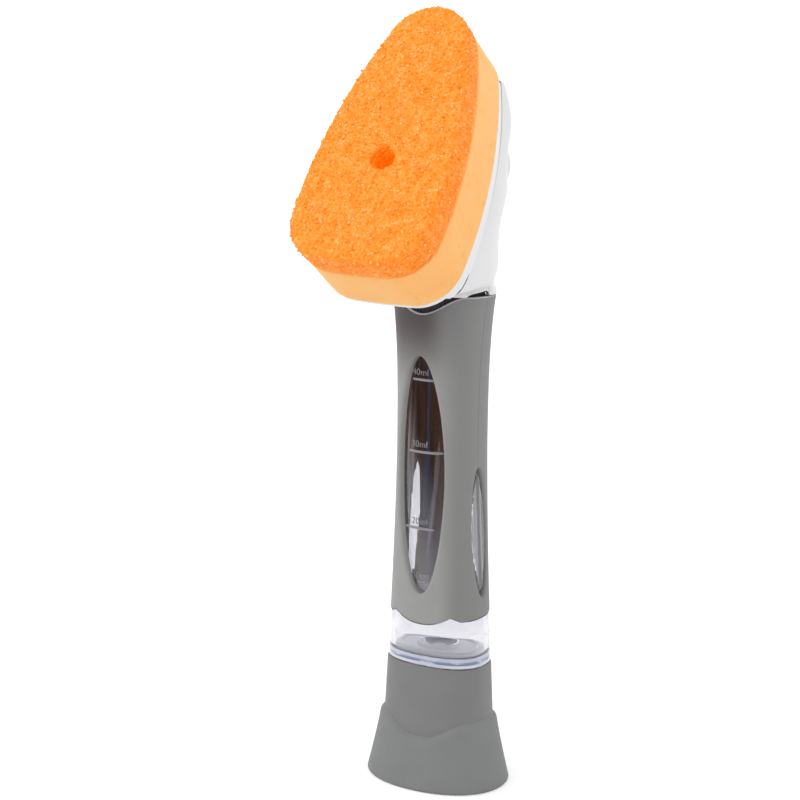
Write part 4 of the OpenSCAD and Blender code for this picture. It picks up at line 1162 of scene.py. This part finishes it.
def beads(v, normal, count, body_t):
    """Small round knots of the scouring mesh, standing out of its surface."""
    t = (1 + math.sqrt(5)) / 2
    ico = np.array([(-1, t, 0), (1, t, 0), (-1, -t, 0), (1, -t, 0), (0, -1, t), (0, 1, t), (0, -1, -t),
                    (0, 1, -t), (t, 0, -1), (t, 0, 1), (-t, 0, -1), (-t, 0, 1)]) / math.sqrt(1 + t * t)
    tri = [(0, 11, 5), (0, 5, 1), (0, 1, 7), (0, 7, 10), (0, 10, 11), (1, 5, 9), (5, 11, 4),
           (11, 10, 2), (10, 7, 6), (7, 1, 8), (3, 9, 4), (3, 4, 2), (3, 2, 6), (3, 6, 8), (3, 8, 9),
           (4, 9, 5), (2, 4, 11), (6, 2, 10), (8, 6, 7), (9, 8, 1)]
    parts, level = [], []
    for i in random.choice(np.flatnonzero(v[:, 2] > body_t), count, replace=False):
        stretch = random.uniform(0.24, 0.52, 3)
        turn, _ = np.linalg.qr(random.standard_normal((3, 3)))
        parts.append((v[i] + normal[i] * random.uniform(-0.25, 0.12) + (ico * stretch) @ turn, tri))
        level.append(np.full(12, random.uniform(0.62, 1.0)))
    return *join(parts), np.concatenate(level)


def scrub_pad():
    foot, top = FOAM_T + LAYER_GAP, FOAM_T + SCRUB_T
    v, f = slab(lambda inset: outline(PAD_L, TIP_R, inset, 560), [SPONGE_HOLE], foot, top, 1.6,
                GRAIN_PITCH, 24)
    normal = vertex_normals(v, f)
    small = cells(v, 1.25, 11)
    large = cells(v, 2.6, 12)
    patch = cells(v, 7.0, 13)[:, 0]
    wall = 1 - np.clip((small[:, 1] - small[:, 0]) / 0.45, 0, 1)
    lump = np.clip(1 - large[:, 0] / 0.95, 0, 1)
    relief = 0.5 * wall + 0.4 * lump + 0.12 * random.standard_normal(len(v)) + 0.22 * (0.6 - patch)
    groove = np.exp(-((v[:, 0] - CUT_U) / CUT_HALF) ** 2)
    groove *= ramp((v[:, 1] - HOLE_V + CUT_LOW) / 1.5) * ramp(HOLE_V - CUT_HIGH - v[:, 1])
    relief -= CUT_DEEP * groove
    shut = v[:, 2] > FOAM_T + 0.3
    v = v + normal * ((relief - 0.62) * 0.7 * shut)[:, None]
    v[:, 2] = np.maximum(v[:, 2], foot)
    off = np.linalg.norm(v[:, :2] - [0, HOLE_V], axis=1)
    near = off < HOLE_R + 3
    v[near, :2] = rough_hole(v[near, :2])
    # deep: the hole's wall and floor, for the painted glow in the scrub's material
    deep = ramp((HOLE_R + 0.35 - off) / 0.5) * ramp((top - 0.7 - v[:, 2]) / 0.8)
    bv, bf, level = beads(v, normal, KNOTS, FOAM_T + 1.5)
    far = np.linalg.norm(bv[:, :2] - [0, HOLE_V], axis=1) > HOLE_R + 0.6
    v, f = join([(v, f), (bv, bf)])
    relief = np.concatenate([relief, level])
    deep = np.concatenate([deep, np.where(far, 0, 0.6)])
    return v, f, np.clip(relief, 0, 1), deep


def attribute(obj, name, values):
    obj.data.attributes.new(name, "FLOAT", "POINT").data.foreach_set("value", values.astype(np.float32))


v, f, pore = foam_pad()
foam = make("foam_layer", on_pad((v, f)), "sponge", foam_material, ["foam_pad"], sharp=60)
attribute(foam, "pore", pore)
v, f, relief, deep = scrub_pad()
scrub = make("scrub_layer", on_pad((v, f)), "sponge", scrub_material, ["scrub_pad"], sharp=90)
attribute(scrub, "relief", relief)
attribute(scrub, "deep", deep)


# Return spring: stands on the valve body

def spring():
    low = SPRING_FOOT + SPRING_WIRE / 2 + 0.1
    length = SPRING_HEAD - SPRING_FOOT - SPRING_WIRE - 0.2
    b = turns(14)
    r = SPRING_R + SPRING_WIRE / 2 * np.cos(b)
    rings = []
    for k in np.linspace(0, 1, SPRING_TURNS * 56):
        a = 2 * math.pi * SPRING_TURNS * k
        y = low + length * k + SPRING_WIRE / 2 * np.sin(b)
        rings.append(stacked(r * math.cos(a), y, VALVE_Z - r * math.sin(a)))
    return loft(rings)


coil = make("return_spring_wound", spring(), "head", spring_steel, ["return_spring"])
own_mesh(coil)


# CAD nodes that show as they are, with their finishes

FINISHES = [
    (dark_plastic, "coupling_collar"), (white_plastic, "button_ring"), (button_plastic, "push_button"),
    (black_rubber, "neck_oring stem_oring nozzle_seal valve_disc"), (plate_plastic, "nozzle"),
    (silicone, "neck_gasket vent_valve feed_hose"), (valve_plastic, "valve_body valve_stem"),
]
for material, names in FINISHES:
    for name in names.split():
        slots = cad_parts[name].data.materials
        for i in range(len(slots)):
            slots[i] = material


# Floor, light and camera

def light_path(nt, kind):
    return add(nt, "LightPath").outputs[kind]


def seen_only(nt):
    """1 for rays that see the surface directly, in a reflection or through glass."""
    near = calc(nt, "ADD", light_path(nt, "Is Camera Ray"), light_path(nt, "Is Glossy Ray"), clamp=True)
    return calc(nt, "ADD", near, light_path(nt, "Is Transmission Ray"), clamp=True)


def floor_build(nt, shader):
    """White where it is seen, and dark in reflections of its part in front of the wand."""
    front = soft_step(nt, coordinate(nt, "Y"), -0.10, -0.40)
    mirrored = calc(nt, "MULTIPLY", front, light_path(nt, "Is Glossy Ray"))
    dark = ramp_node(nt, mirrored, [(0.0, (0.8, 0.8, 0.8)), (1.0, (0.02, 0.018, 0.02))])
    away = add(nt, "VectorMath", {"Vector": place_in(nt)}, operation="LENGTH").outputs["Value"]
    level = calc(nt, "MULTIPLY", seen_only(nt), soft_step(nt, away, 0.3, 1.6, 0.30, 0.50))
    lit = calc(nt, "MULTIPLY_ADD", mirrored, -0.6, level, clamp=True)
    put(shader, Base_Color=dark, Roughness=1.0, Specular_IOR_Level=0.0, Emission_Color=(1, 1, 1, 1),
        Emission_Strength=lit)


bpy.ops.mesh.primitive_plane_add(size=30, location=(0, 0, 0))
floor = bpy.context.object
floor.name = "floor"
floor.data.materials.append(node_material("floor", floor_build))

world = bpy.data.worlds.new("studio")
bpy.context.scene.world = world
world.use_nodes = True
nt = world.node_tree
background = next(n for n in nt.nodes if n.type == "BACKGROUND")
studio = soft_step(nt, coordinate(nt, "Y", "Generated"), -0.25, 0.6, 0.03, 1.0)
seen_white = calc(nt, "MAXIMUM", studio, light_path(nt, "Is Camera Ray"))
strength = add(nt, "Mix", {"Factor": seen_only(nt), "A": 1.02, "B": seen_white}, data_type="FLOAT")
put(background, Color=(1, 1, 1, 1), Strength=strength.outputs["Result"])


def softbox(name, place, size, power):
    light = bpy.data.lights.new(name, "AREA")
    light.shape = "RECTANGLE"
    light.size, light.size_y = size
    light.energy = power
    obj = link(name, light)
    obj.location = place
    obj.rotation_euler = (AIM - Vector(place)).to_track_quat("-Z", "Y").to_euler()


AIM = Vector((0, -0.01, 0.15))
softbox("key", (-1.15, -0.40, 0.80), (0.45, 0.6), 3.9)
softbox("top", (-0.1, -0.4, 1.2), (0.5, 0.5), 1.2)
softbox("back", (0.5, 0.9, 0.6), (0.5, 0.8), 0.6)

AZIMUTH, ELEVATION, ROLL = map(math.radians, (29.33, 13.04, 0.84))
DISTANCE = 0.76061
FOCUS = Vector((0, 0, 0.130))
PX_PER_MM, FRAME_PX, CENTRE_PX = 3.03, 800, (443.12, 402.5)
camera_data = bpy.data.cameras.new("camera")
camera_data.sensor_width = 36
camera_data.lens = PX_PER_MM * DISTANCE * 1000 / FRAME_PX * camera_data.sensor_width
camera_data.shift_x = 0.5 - CENTRE_PX[0] / FRAME_PX
camera_data.shift_y = CENTRE_PX[1] / FRAME_PX - 0.5
camera_data.clip_start, camera_data.clip_end = 0.01, 100
camera = link("camera", camera_data)
turn = Euler((math.pi / 2 - ELEVATION, 0, AZIMUTH)).to_matrix().to_4x4()
camera.matrix_world = (Matrix.Translation(FOCUS) @ turn @ Matrix.Rotation(ROLL, 4, "Z")
                       @ Matrix.Translation((0, 0, DISTANCE)))
bpy.context.scene.camera = camera
bpy.context.scene.view_settings.view_transform = "Standard"
